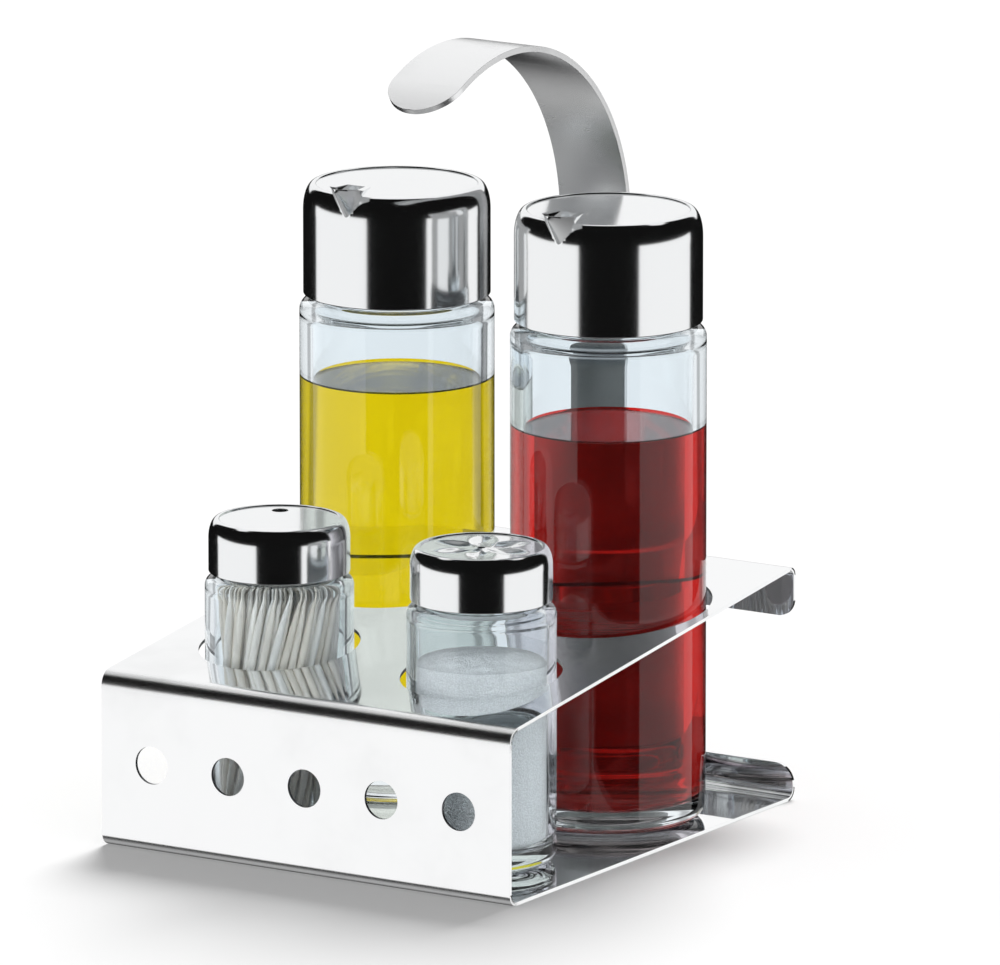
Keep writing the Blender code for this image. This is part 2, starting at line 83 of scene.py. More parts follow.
class StandSettings(PropertyGroup):
    """Sizes and finish of the folded stand"""

    sheet: length("Sheet", "Thickness of the folded sheet", 1.0 * MM)
    front_height: length("Front height", "Height of the front panel", 49.7 * MM)
    upper_lip: length("Upper lip", "How far the deck's lip turns down at the back", 14.9 * MM)
    lower_lip: length("Lower lip", "How far the base's lip turns up at the back", 10.2 * MM)
    hole_clearance: length("Hole clearance", "Play round each container in its hole", 1.8 * MM)
    window_radius: length("Window radius", "Radius of the front windows", 5.4 * MM)
    window_pitch: length("Window pitch", "Distance between the front windows", 25.3 * MM)
    window_height: length("Window height", "Height of the front windows' centres", 25.1 * MM)
    windows: IntProperty(name="Windows", description="How many round windows the front has", default=5, min=1)
    edge_break: length("Edge break", "How far cut edges are rounded over", 0.16 * MM)
    steel: colour("Steel", "Colour of the polished sheet", (0.93, 0.935, 0.94))


class HandleSettings(PropertyGroup):
    """Sizes and finish of the carrying handle and its rivets"""

    thickness: length("Thickness", "Thickness of the strip", 1.7 * MM)
    hook_radius: length("Hook radius", "Outer radius of the hook over the caps", 61.5 * MM)
    hook_height: length("Hook height", "Height of the hook's centre", 158.2 * MM)
    overhang: rotation("Overhang", "How far the hook runs past its crest", 37)
    foot_corner: length("Foot corner", "Corner radius at the foot of the strip", 3.0 * MM)
    rivet_spacing: length("Rivet spacing", "Distance between the rivets of a pair", 12.0 * MM)
    edge_break: length("Edge break", "How far the strip's edges are rounded over", 0.30 * MM)
    steel: colour("Steel", "Colour of the strip", (0.88, 0.885, 0.89))


class BottleSettings(PropertyGroup):
    """Sizes of an oil or vinegar bottle above its own foot"""

    wall: length("Wall", "Thickness of the glass side", 3.7 * MM)
    floor: length("Floor", "Thickness of the glass floor", 6.0 * MM)
    heel: length("Heel", "Radius round the foot", 4.5 * MM)
    side_top: length("Side top", "Height where the shoulder starts", 137.4 * MM)
    shoulder: length("Shoulder", "Radius of the shoulder", 3.4 * MM)
    neck_radius: length("Neck radius", "Outer radius of the neck at the thread's root", 22.0 * MM)
    neck_bore: length("Neck bore", "Inner radius of the neck", 18.5 * MM)
    neck_top: length("Neck top", "Height of the mouth", 155.5 * MM)
    lead: length("Lead", "Rise of the thread in one turn", 4.2 * MM)
    ridge: length("Ridge", "Height of the thread's ridge", 1.0 * MM)
    ridge_start: length("Ridge start", "Height where the thread starts", 144.8 * MM)
    turns: FloatProperty(name="Turns", description="Turns of the thread", default=1.5, min=0.5)
    cap_top: length("Cap top", "Height of the cap's flat top", 173.7 * MM)
    cap_rim: length("Cap rim", "Height of the cap's lower edge", 142.1 * MM)
    cap_radius: length("Cap radius", "Outer radius of the cap", 26.4 * MM)
    cap_wall: length("Cap wall", "Thickness of the cap's metal", 0.8 * MM)
    round_in: length("Round in", "How far the cap's rounded edge reaches in", 3.0 * MM)
    round_down: length("Round down", "How far the cap's rounded edge reaches down", 7.5 * MM)
    dish: length("Dish", "How far the cap's top is set in", 0.45 * MM)
    web: length("Web", "Thickness of the insert's web", 1.5 * MM)
    web_bore: length("Web bore", "Radius of the opening in the insert's web", 8.5 * MM)
    collar: length("Collar", "Rise of the insert above its web", 1.4 * MM)
    seal: length("Seal", "Thickness of the seal ring", 1.0 * MM)


class JarSettings(PropertyGroup):
    """Sizes of a salt or toothpick jar above its own foot"""

    wall: length("Wall", "Thickness of the glass side", 2.6 * MM)
    floor: length("Floor", "Thickness of the glass floor", 5.0 * MM)
    heel: length("Heel", "Radius round the foot", 3.6 * MM)
    side_top: length("Side top", "Height where the shoulder starts", 70.2 * MM)
    shoulder: length("Shoulder", "Radius of the shoulder", 2.6 * MM)
    neck_radius: length("Neck radius", "Outer radius of the neck at the thread's root", 15.8 * MM)
    neck_bore: length("Neck bore", "Inner radius of the neck", 13.6 * MM)
    neck_top: length("Neck top", "Height of the mouth", 83.2 * MM)
    lead: length("Lead", "Rise of the thread in one turn", 3.2 * MM)
    ridge: length("Ridge", "Height of the thread's ridge", 0.9 * MM)
    ridge_start: length("Ridge start", "Height where the thread starts", 76.0 * MM)
    turns: FloatProperty(name="Turns", description="Turns of the thread", default=1.25, min=0.5)
    cap_top: length("Cap top", "Height of the cap's flat top", 89.2 * MM)
    cap_rim: length("Cap rim", "Height of the cap's lower edge", 74.2 * MM)
    cap_radius: length("Cap radius", "Outer radius of the cap", 19.8 * MM)
    cap_wall: length("Cap wall", "Thickness of the cap's metal", 0.7 * MM)
    round_in: length("Round in", "How far the cap's rounded edge reaches in", 2.4 * MM)
    round_down: length("Round down", "How far the cap's rounded edge reaches down", 5.5 * MM)
    dish: length("Dish", "How far the cap's top is set in", 0.4 * MM)
    web: length("Web", "Thickness of the insert's web", 1.2 * MM)
    web_bore: length("Web bore", "Radius of the opening in the insert's web", 13.7 * MM)
    collar: length("Collar", "Rise of the insert above its web", 0.9 * MM)
    seal: length("Seal", "Thickness of the seal ring", 0.9 * MM)


class NibSettings(PropertyGroup):
    """Sizes of the pouring nib on a bottle's cap, from the cap's axis and top"""

    reach: length("Reach", "From the cap's axis to the nib's tip", 32.0 * MM)
    rise: length("Rise", "Height of the tip above the cap's top", 3.2 * MM)
    collar: length("Collar", "Height of the rim everywhere but at the tip", 2.5 * MM)
    half_width: length("Half width", "Half of the nib's width at the cap's wall", 5.6 * MM)
    depth: length("Depth", "How far the nib starts below the cap's top", 6.2 * MM)
    root: length("Root", "From the cap's axis to where the nib opens into the cap", 20.0 * MM)
    metal: length("Metal", "Thickness of the nib's metal", 0.8 * MM)


class PerforationSettings(PropertyGroup):
    """Holes in the tops of the two jar caps"""

    salt_radius: length("Salt hole radius", "Radius of a salt hole", 1.1 * MM)
    salt_ring: length("Salt ring", "Radius of the ring of salt holes", 8.0 * MM)
    salt_holes: IntProperty(name="Salt holes", description="Salt holes in the ring", default=6, min=1)
    petal_depth: length("Petal depth", "How deep the petals around the salt holes are pressed", 0.95 * MM)
    petal_reach: length("Petal reach", "Half of a petal's length", 7.4 * MM)
    petal_half_width: length("Petal half width", "Half of a petal's width", 4.0 * MM)
    pick_radius: length("Pick hole radius", "Radius of the hole for one toothpick", 2.3 * MM)
    pick_ring: length("Pick ring", "From the cap's axis to the toothpick hole", 11.2 * MM)
    pick_angle: rotation("Pick angle", "Where the toothpick hole lies", 122)


class ContentsSettings(PropertyGroup):
    """Levels and colours of what the containers hold"""

    oil: colour("Oil", "Colour of light that has passed through the oil", (0.98, 0.70, 0.001))
    vinegar: colour("Vinegar", "Colour of light that has passed through the vinegar", (0.80, 0.016, 0.012))
    salt: colour("Salt", "Colour of the salt", (0.96, 0.96, 0.955))
    wood: colour("Wood", "Colour of the toothpicks", (0.90, 0.88, 0.84))
    meniscus: length("Meniscus", "How far a liquid climbs the glass", 0.8 * MM)
    pick_count: IntProperty(
        name="Toothpicks", description="How many toothpicks the jar holds", default=170, min=1
    )
    pick_length: length("Toothpick length", "Length of a toothpick", 65.0 * MM)
    pick_radius: length("Toothpick radius", "Radius of a toothpick", 1.05 * MM)


class GlassSettings(PropertyGroup):
    """Finish of the glass and the metal caps"""

    glass: colour("Glass", "Colour of light that has passed through the glass", (0.90, 0.95, 0.98))
    chrome: colour("Chrome", "Colour of the caps", (0.93, 0.93, 0.935))


class StageSettings(PropertyGroup):
    """Camera and floor"""

    azimuth: rotation("Azimuth", "Camera's turn from the stand's front", 32.4)
    elevation: rotation("Elevation", "Camera's height over the horizon", 12.48)
    distance: length("Distance", "Camera's distance", 4.2)
    lens: FloatProperty(name="Lens", description="Focal length in millimetres", default=541.0)


SETTINGS = {
    "cruet_stand": StandSettings,
    "cruet_handle": HandleSettings,
    "cruet_bottle": BottleSettings,
    "cruet_jar": JarSettings,
    "cruet_nib": NibSettings,
    "cruet_perforations": PerforationSettings,
    "cruet_contents": ContentsSettings,
    "cruet_glass": GlassSettings,
    "cruet_stage": StageSettings,
}


# Shapes ---------------------------------------------------------------------------------------


def mesh_from(bm, name):
    mesh = bpy.data.meshes.new(name)
    bm.to_mesh(mesh)
    bm.free()
    return mesh


def place_object(name, mesh):
    obj = bpy.data.objects.new(name, mesh)
    bpy.context.scene.collection.objects.link(obj)
    return obj


def paint(mesh, *materials):
    for index, material in enumerate(materials):
        if index < len(mesh.materials):
            mesh.materials[index] = material
        else:
            mesh.materials.append(material)


def add_piece(name, mesh, material, body, nodes, sharp=35):
    """A finished piece at the origin that stands for CAD nodes and rides on their body."""
    if not mesh.materials:
        mesh.materials.append(material)
    if sharp:
        mesh.shade_smooth()
        mesh.set_sharp_from_angle(angle=math.radians(sharp))
    obj = place_object(name, mesh)
    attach(obj, body)
    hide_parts(*nodes)
    return obj


def evaluated_mesh(obj, name):
    """The object's mesh with its modifiers applied; the object itself is removed."""
    graph = bpy.context.evaluated_depsgraph_get()
    mesh = bpy.data.meshes.new_from_object(obj.evaluated_get(graph), depsgraph=graph)
    mesh.name = name
    old = obj.data
    bpy.data.objects.remove(obj)
    bpy.data.meshes.remove(old)
    return mesh


def arc(centre_r, centre_z, radius, start, end, steps=8, height=None):
    """Points of a circular or elliptic arc in the profile plane, from start to end degrees."""
    height = radius if height is None else height
    points = []
    for step in range(steps + 1):
        angle = math.radians(start + (end - start) * step / steps)
        points.append((centre_r + radius * math.cos(angle), centre_z + height * math.sin(angle)))
    return points


def straight(start, end, steps):
    """Points from start to end, without the first."""
    shares = range(1, steps + 1)
    return [tuple(a + (b - a) * step / steps for a, b in zip(start, end)) for step in shares]


def turned(name, profile, centre, closed=False, swell=None, segments=ROUND):
    """A profile of (radius, height) points turned about a vertical axis; swell adds to the radius."""
    bm = bmesh.new()
    rings = []
    for radius, height in profile:
        if radius < 1e-7:
            rings.append([bm.verts.new((centre.x, centre.y, centre.z + height))])
            continue
        ring = []
        for step in range(segments):
            angle = 2 * math.pi * step / segments
            reach = radius + (swell(angle, radius, height) if swell else 0.0)
            x, y = centre.x + reach * math.cos(angle), centre.y + reach * math.sin(angle)
            ring.append(bm.verts.new((x, y, centre.z + height)))
        rings.append(ring)
    pairs = list(zip(rings, rings[1:]))
    if closed:
        pairs.append((rings[-1], rings[0]))
    for here, there in pairs:
        for step in range(segments):
            after = (step + 1) % segments
            corners = [
                here[step % len(here)], here[after % len(here)],
                there[after % len(there)], there[step % len(there)],
            ]
            unique = [vert for index, vert in enumerate(corners) if vert not in corners[:index]]
            bm.faces.new(unique)
    bmesh.ops.recalc_face_normals(bm, faces=bm.faces)
    return mesh_from(bm, name)


def rounded_path(corners, radii, steps=14):
    """An open path in (y, z) through the corners, each inner one rounded by its radius."""
    points = [corners[0]]
    for before, corner, after, radius in zip(corners, corners[1:], corners[2:], radii):
        here = Vector(corner)
        into = (here - Vector(before)).normalized()
        out = (Vector(after) - here).normalized()
        turn = into.angle(out)
        start = here - into * radius * math.tan(turn / 2)
        side = Vector((-into.y, into.x))
        if side.dot(out) < 0:
            side.negate()
        centre = start + side * radius
        for step in range(steps + 1):
            angle = turn * step / steps
            points.append(tuple(centre - side * radius * math.cos(angle) + into * radius * math.sin(angle)))
    points.append(corners[-1])
    return points


def strip_from(rows):
    """An open strip through (y, z, half width) rows, and its pairs of edge points."""
    bm = bmesh.new()
    pairs = [(bm.verts.new((half, y, z)), bm.verts.new((-half, y, z))) for y, z, half in rows]
    for (right, left), (next_right, next_left) in zip(pairs, pairs[1:]):
        bm.faces.new((right, left, next_left, next_right))
    return bm, pairs


def cylinder(name, radius, height, matrix, segments=64):
    bm = bmesh.new()
    bmesh.ops.create_cone(bm, cap_ends=True, segments=segments, radius1=radius, radius2=radius, depth=height)
    bm.transform(matrix)
    return place_object(name, mesh_from(bm, name))


def cut(obj, cutter, operation="DIFFERENCE"):
    modifier = obj.modifiers.new(cutter.name, "BOOLEAN")
    modifier.operation = operation
    modifier.object = cutter
    modifier.solver = "EXACT"


def metal_from_strip(name, bm, thickness, cutters, edge_break, face, edge):
    """Thickness, holes and broken edges for a folded strip; flats stay flat in their shading."""
    obj = place_object(name, mesh_from(bm, name))
    paint(obj.data, face, edge)
    # The hole walls and the broken edges take the edge finish, painted dark as painted shade lines.
    for cutter in cutters:
        paint(cutter.data, face, edge)
        cutter.data.polygons.foreach_set("material_index", [1] * len(cutter.data.polygons))
    solid = obj.modifiers.new("thickness", "SOLIDIFY")
    solid.thickness = thickness
    solid.offset = -1
    solid.use_even_offset = True
    for cutter in cutters:
        cut(obj, cutter)
    mesh = evaluated_mesh(obj, name)
    for cutter in cutters:
        bpy.data.objects.remove(cutter)
    return broken_edges(mesh, name, edge_break, edge_slot=1)


def broken_edges(mesh, name, edge_break, angle=50, edge_slot=-1):
    """Small bevels on the sharp edges, with the shading of large faces kept flat."""
    obj = place_object(name, mesh)
    mesh.shade_smooth()
    bevel = obj.modifiers.new("edges", "BEVEL")
    bevel.width = edge_break
    bevel.segments = 2
    bevel.limit_method = "ANGLE"
    bevel.angle_limit = math.radians(angle)
    bevel.use_clamp_overlap = True
    bevel.material = edge_slot
    weighted = obj.modifiers.new("flats", "WEIGHTED_NORMAL")
    weighted.weight = 100
    return evaluated_mesh(obj, name)


# Sizes from the frame ---------------------------------------------------------------------------


def vessel_node(kind):
    return f"{kind}_{VESSELS[kind]}"


def vessel_sizes(kind):
    return getattr(bpy.context.scene, f"cruet_{VESSELS[kind]}")


def vessel_foot(kind):
    """The point on the container's axis at the height of its foot."""
    low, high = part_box(vessel_node(kind))
    return Vector(((low.x + high.x) / 2, (low.y + high.y) / 2, low.z))


def vessel_radius(kind):
    low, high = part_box(vessel_node(kind))
    return (high.x - low.x) / 2


# Materials ---------------------------------------------------------------------------------------


def link(tree, source, target):
    tree.links.new(source, target)


def feed(tree, value, socket):
    """Gives a socket what another one puts out, or a plain value."""
    if isinstance(value, bpy.types.NodeSocket):
        link(tree, value, socket)
    else:
        socket.default_value = value


def math_node(tree, operation, first, second=None):
    node = tree.nodes.new("ShaderNodeMath")
    node.operation = operation
    feed(tree, first, node.inputs[0])
    if second is not None:
        feed(tree, second, node.inputs[1])
    return node.outputs[0]


def vector_node(tree, operation, first, second):
    node = tree.nodes.new("ShaderNodeVectorMath")
    node.operation = operation
    feed(tree, first, node.inputs[0])
    feed(tree, second, node.inputs[1])
    return node.outputs["Vector"]


def map_range(tree, value, low, high, to_low=0.0, to_high=1.0, smooth=True):
    node = tree.nodes.new("ShaderNodeMapRange")
    node.interpolation_type = "SMOOTHSTEP" if smooth else "LINEAR"
    link(tree, value, node.inputs["Value"])
    for name, setting in (("From Min", low), ("From Max", high), ("To Min", to_low), ("To Max", to_high)):
        node.inputs[name].default_value = setting
    return node.outputs["Result"]


def noise_node(tree, vector, scale, detail=3.0, roughness=0.5, stretch=None):
    if stretch:
        mapping = tree.nodes.new("ShaderNodeMapping")
        mapping.inputs["Scale"].default_value = stretch
        link(tree, vector, mapping.inputs["Vector"])
        vector = mapping.outputs["Vector"]
    node = tree.nodes.new("ShaderNodeTexNoise")
    link(tree, vector, node.inputs["Vector"])
    feed(tree, scale, node.inputs["Scale"])
    node.inputs["Detail"].default_value = detail
    node.inputs["Roughness"].default_value = roughness
    return node.outputs["Fac"]


def mix_colour(tree, factor, first, second):
    node = tree.nodes.new("ShaderNodeMix")
    node.data_type = "RGBA"
    link(tree, factor, node.inputs["Factor"])
    for name, value in (("A", first), ("B", second)):
        socket = next(s for s in node.inputs if s.name == name and s.type == "RGBA")
        if isinstance(value, bpy.types.NodeSocket):
            link(tree, value, socket)
        else:
            socket.default_value = (*value, 1.0)
    return next(s for s in node.outputs if s.type == "RGBA")


def new_group(name, inputs, outputs):
    group = bpy.data.node_groups.new(name, "ShaderNodeTree")
    for label, kind, default in inputs:
        socket = group.interface.new_socket(name=label, in_out="INPUT", socket_type=kind)
        if default is not None:
            socket.default_value = default
    for label, kind in outputs:
        group.interface.new_socket(name=label, in_out="OUTPUT", socket_type=kind)
    return group, group.nodes.new("NodeGroupInput"), group.nodes.new("NodeGroupOutput")


def wiped_polish():
    """Shared by all metals: soft wipe marks and hairlines that a cloth leaves on polish."""
    group, given, out = new_group(
        "Wiped polish",
        [
            ("Vector", "NodeSocketVector", None), ("Smudge Scale", "NodeSocketFloat", 40.0),
            ("Roughness", "NodeSocketFloat", 0.03), ("Smudge", "NodeSocketFloat", 0.05),
            ("Hairline", "NodeSocketFloat", 0.02),
        ],
        [("Roughness", "NodeSocketFloat"), ("Height", "NodeSocketFloat"), ("Mask", "NodeSocketFloat")],
    )
    vector = given.outputs["Vector"]
    cloud = noise_node(group, vector, given.outputs["Smudge Scale"], 4.0, 0.55)
    mask = map_range(group, cloud, 0.46, 0.78)
    lines = noise_node(group, vector, 900.0, 2.0, 0.6, stretch=(0.03, 1.0, 1.0))
    marks = map_range(group, lines, 0.5, 0.8)
    rough = math_node(group, "MULTIPLY_ADD", mask, given.outputs["Smudge"])
    link(group, given.outputs["Roughness"], rough.node.inputs[2])
    fine = math_node(group, "MULTIPLY", marks, given.outputs["Hairline"])
    link(group, math_node(group, "ADD", rough, fine), out.inputs["Roughness"])
    link(group, lines, out.inputs["Height"])
    link(group, mask, out.inputs["Mask"])
    return group


def moulded_ripple():
    """Shared by glass and plastic: the slow waviness of a moulded wall."""
    group, given, out = new_group(
        "Moulded ripple",
        [("Vector", "NodeSocketVector", None), ("Wave Scale", "NodeSocketFloat", 60.0)],
        [("Height", "NodeSocketFloat"), ("Tone", "NodeSocketFloat")],
    )
    vector, scale = given.outputs["Vector"], given.outputs["Wave Scale"]
    wave = noise_node(group, vector, scale, 1.5, 0.4, stretch=(1.0, 1.0, 0.35))
    link(group, wave, out.inputs["Height"])
    link(group, map_range(group, wave, 0.3, 0.7), out.inputs["Tone"])
    return group


def shared_group(builder, name):
    return bpy.data.node_groups.get(name) or builder()


def place_group(tree, group, **values):
    node = tree.nodes.new("ShaderNodeGroup")
    node.node_tree = group
    for name, value in values.items():
        node.inputs[name.replace("_", " ")].default_value = value
    return node


def new_material(name):
    """A material with one Principled BSDF, and its Object coordinates."""
    material = bpy.data.materials.new(name)
    material.use_nodes = True
    tree = material.node_tree
    tree.nodes.clear()
    out = tree.nodes.new("ShaderNodeOutputMaterial")
    shader = tree.nodes.new("ShaderNodeBsdfPrincipled")
    link(tree, shader.outputs["BSDF"], out.inputs["Surface"])
    coordinates = tree.nodes.new("ShaderNodeTexCoord").outputs["Object"]
    return material, tree, shader, coordinates


def add_bump(tree, shader, height, strength, distance):
    bump = tree.nodes.new("ShaderNodeBump")
    bump.inputs["Strength"].default_value = strength
    bump.inputs["Distance"].default_value = distance
    link(tree, height, bump.inputs["Height"])
    link(tree, bump.outputs["Normal"], shader.inputs["Normal"])


def fold_mask(tree, coordinates):
    """1 along the two folds of the front, where forming has dulled the polish."""
    stand = bpy.context.scene.cruet_stand
    axes = tree.nodes.new("ShaderNodeSeparateXYZ")
    link(tree, coordinates, axes.inputs[0])
    front = map_range(tree, axes.outputs["Y"], SHEET_LOW.y + 1.0 * MM, SHEET_LOW.y + 6.5 * MM, 1.0, 0.0)
    upper = map_range(tree, axes.outputs["Z"], stand.front_height - 8.0 * MM, stand.front_height - 2.5 * MM)
    lower = map_range(tree, axes.outputs["Z"], 1.5 * MM, 5.0 * MM, 1.0, 0.0)
    return math_node(tree, "MULTIPLY", front, math_node(tree, "MAXIMUM", upper, lower))


def cut_steel_painted_dark():
    """Cut and broken edges: duller than the polished faces, and painted dark as painted shade lines along
    them.
    """
    return polished_metal("cut_edge_steel", (0.13, 0.13, 0.14), 0.30, 0.12, 0.10, 150.0, 0.1)


def polished_metal(name, tint, roughness, smudge, hairline, scale, bump, dull_mask=None):
    material = bpy.data.materials.get(name)
    if material:
        return material
    material, tree, shader, coordinates = new_material(name)
    polish = place_group(
        tree, shared_group(wiped_polish, "Wiped polish"),
        Roughness=roughness, Smudge=smudge, Hairline=hairline, Smudge_Scale=scale,
    )
    link(tree, coordinates, polish.inputs["Vector"])
    dull = tuple(0.93 * channel for channel in tint)
    link(tree, mix_colour(tree, polish.outputs["Mask"], tint, dull), shader.inputs["Base Color"])
    rough = polish.outputs["Roughness"]
    if dull_mask:
        rough = math_node(tree, "MULTIPLY_ADD", dull_mask(tree, coordinates), 0.26)
        link(tree, polish.outputs["Roughness"], rough.node.inputs[2])
    link(tree, rough, shader.inputs["Roughness"])
    shader.inputs["Metallic"].default_value = 1.0
    if bump:
        add_bump(tree, shader, polish.outputs["Height"], bump, 0.02 * MM)
    return material


def direct_sight(tree):
    """1 for what is seen straight on, 0 for what a mirror or a second glass vessel shows; it picks where a
    liquid's colour is painted pale.
    """
    path = tree.nodes.new("ShaderNodeLightPath")
    unmirrored = math_node(tree, "LESS_THAN", path.outputs["Glossy Depth"], 0.5)
    near = math_node(tree, "LESS_THAN", path.outputs["Transmission Depth"], 4.5)
    return math_node(tree, "MULTIPLY", unmirrored, near)


def clear_material(name, tint, ior, wave_scale, wave, dense_tint=None, pale=None):
    """Glass or a liquid: coloured by what passes through, with a faint moulded waviness; given pale, the
    colour is painted pale where a mirror or a second glass vessel shows it, as a painted washed-out
    reflection.
    """
    material = bpy.data.materials.get(name)
    if material:
        return material
    material, tree, shader, coordinates = new_material(name)
    ripple = place_group(tree, shared_group(moulded_ripple, "Moulded ripple"), Wave_Scale=wave_scale)
    link(tree, coordinates, ripple.inputs["Vector"])
    body = mix_colour(tree, ripple.outputs["Tone"], tint, dense_tint or tuple(0.985 * c for c in tint))
    # Painted light: the liquid turns near white in mirrors and behind other glass, as a painted washed-out
    # reflection.
    if pale:
        body = mix_colour(tree, direct_sight(tree), pale, body)
    link(tree, body, shader.inputs["Base Color"])
    shader.inputs["Roughness"].default_value = 0.0
    shader.inputs["Transmission Weight"].default_value = 1.0
    shader.inputs["IOR"].default_value = ior
    if wave:
        add_bump(tree, shader, ripple.outputs["Height"], wave, 0.3 * MM)
    return material


def salt_material(tint):
    material, tree, shader, coordinates = new_material("salt_grains")
    grains = tree.nodes.new("ShaderNodeTexVoronoi")
    grains.inputs["Scale"].default_value = 2200.0
    link(tree, coordinates, grains.inputs["Vector"])
    shade = map_range(tree, grains.outputs["Distance"], 0.05, 0.75)
    darker = tuple(0.80 * channel for channel in tint)
    link(tree, mix_colour(tree, shade, tint, darker), shader.inputs["Base Color"])
    shader.inputs["Roughness"].default_value = 0.55
    add_bump(tree, shader, grains.outputs["Distance"], 0.8, 0.25 * MM)
    return material


def wood_material(tint):
    material, tree, shader, coordinates = new_material("toothpick_birch")
    tone = tree.nodes.new("ShaderNodeAttribute")
    tone.attribute_name = "pick_tone"
    grain = noise_node(tree, coordinates, 700.0, 4.0, 0.6, stretch=(1.0, 1.0, 0.06))
    pores = map_range(tree, grain, 0.35, 0.75)
    dark = (tint[0] * 0.72, tint[1] * 0.63, tint[2] * 0.50)
    pale = tuple(min(1.0, 1.08 * channel) for channel in tint)
    grained = mix_colour(tree, pores, pale, tuple(0.86 * channel for channel in tint))
    darkened = math_node(tree, "MULTIPLY", tone.outputs["Fac"], 0.55)
    link(tree, mix_colour(tree, darkened, grained, dark), shader.inputs["Base Color"])
    link(tree, map_range(tree, grain, 0.3, 0.8, 0.45, 0.7, smooth=False), shader.inputs["Roughness"])
    add_bump(tree, shader, grain, 0.35, 0.08 * MM)
    return material


def moulded_material(name, tint, roughness, scale):
    """Insert plastic and seal rubber, with a faint matt grain."""
    material = bpy.data.materials.get(name)
    if material:
        return material
    material, tree, shader, coordinates = new_material(name)
    ripple = place_group(tree, shared_group(moulded_ripple, "Moulded ripple"), Wave_Scale=scale)
    link(tree, coordinates, ripple.inputs["Vector"])
    body = mix_colour(tree, ripple.outputs["Tone"], tint, tuple(0.92 * c for c in tint))
    link(tree, body, shader.inputs["Base Color"])
    grain = noise_node(tree, coordinates, 1500.0, 2.0)
    matt = map_range(tree, grain, 0.2, 0.8, roughness - 0.06, roughness + 0.08)
    link(tree, matt, shader.inputs["Roughness"])
    add_bump(tree, shader, grain, 0.25, 0.05 * MM)
    return material


# Stand and handle --------------------------------------------------------------------------------


def build_folded_sheet():
    stand = bpy.context.scene.cruet_stand
    front, back, high = SHEET_LOW.y, SHEET_HIGH.y, SHEET_HIGH.z
    corners = [
        (back, high - stand.upper_lip), (back, high), (front, stand.front_height),
        (front, 0.0), (back, 0.0), (back, stand.lower_lip),
    ]
    path = rounded_path(corners, [2.6 * MM, 4.5 * MM, 3.5 * MM, 3.5 * MM])
    bm, pairs = strip_from([(y, z, SHEET_HIGH.x) for y, z in path])
    for pair, radius in ((pairs[0], 5.0 * MM), (pairs[-1], 6.0 * MM)):
        bmesh.ops.bevel(bm, geom=list(pair), offset=radius, segments=12, affect="VERTICES", profile=0.5)
    upright = Matrix.Rotation(math.radians(90), 4, "X")
    cutters = []
    for index in range(stand.windows):
        x = (index - (stand.windows - 1) / 2) * stand.window_pitch
        spot = Matrix.Translation((x, front, stand.window_height)) @ upright
        cutters.append(cylinder(f"window_cutter_{index}", stand.window_radius, 8 * stand.sheet, spot, 72))
    for kind in VESSELS:
        foot = vessel_foot(kind)
        radius = vessel_radius(kind) + stand.hole_clearance
        spot = Matrix.Translation((foot.x, foot.y, high))
        cutters.append(cylinder(f"{kind}_hole_cutter", radius, 1.5 * high, spot, 144))
    cutters += rivet_hole_cutters("sheet")
    finish = polished_metal("mirror_steel_sheet", stand.steel, 0.02, 0.035, 0.01, 28.0, 0.012, fold_mask)
    mesh = metal_from_strip("folded_sheet", bm, stand.sheet, cutters, stand.edge_break, finish, cut_steel_painted_dark())
    add_piece("folded_sheet", mesh, finish, "stand", ["stand_sheet"], sharp=0)


def rivet_spots():
    """Where each rivet's axis meets the back, left and right in an upper and a lower row."""
    spots = []
    for name in RIVETS:
        low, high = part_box(name)
        spots.append(Vector(((low.x + high.x) / 2, low.y, (low.z + high.z) / 2)))
    return spots


def rivet_hole_cutters(name):
    lie = Matrix.Rotation(math.radians(90), 4, "X")
    return [
        cylinder(f"{name}_rivet_cutter_{index}", 1.8 * MM, 16 * MM, Matrix.Translation(spot) @ lie, 32)
        for index, spot in enumerate(rivet_spots())
    ]


def build_carrying_handle():
    handle = bpy.context.scene.cruet_handle
    half = STRIP_HIGH.x
    back = STRIP_HIGH.y
    centre_y = back - handle.hook_radius
    rows = [(back, STRIP_LOW.z, half), (back, SHEET_HIGH.z, half)]
    round_start = math.radians(90) + handle.overhang - half / handle.hook_radius
    crest = math.radians(90)
    rise_steps, over_steps, round_steps = 56, 16, 28
    turns = [(crest * step / rise_steps, half) for step in range(rise_steps + 1)]
    for step in range(1, over_steps + 1):
        turns.append((crest + (round_start - crest) * step / over_steps, half))
    for step in range(1, round_steps + 1):
        turn = math.radians(88) * step / round_steps
        turns.append((round_start + half * math.sin(turn) / handle.hook_radius, half * math.cos(turn)))
    for angle, width in turns:
        y = centre_y + handle.hook_radius * math.cos(angle)
        rows.append((y, handle.hook_height + handle.hook_radius * math.sin(angle), width))
    bm, pairs = strip_from(rows)
    bmesh.ops.bevel(
        bm, geom=list(pairs[0]), offset=handle.foot_corner, segments=8, affect="VERTICES", profile=0.5
    )
    finish = polished_metal("polished_handle_steel", handle.steel, 0.24, 0.06, 0.03, 35.0, 0.0)
    cutters = rivet_hole_cutters("strip")
    mesh = metal_from_strip(
        "carrying_handle", bm, handle.thickness, cutters, handle.edge_break, finish, cut_steel_painted_dark()
    )
    add_piece("carrying_handle", mesh, finish, "stand", ["handle_strip"], sharp=0)


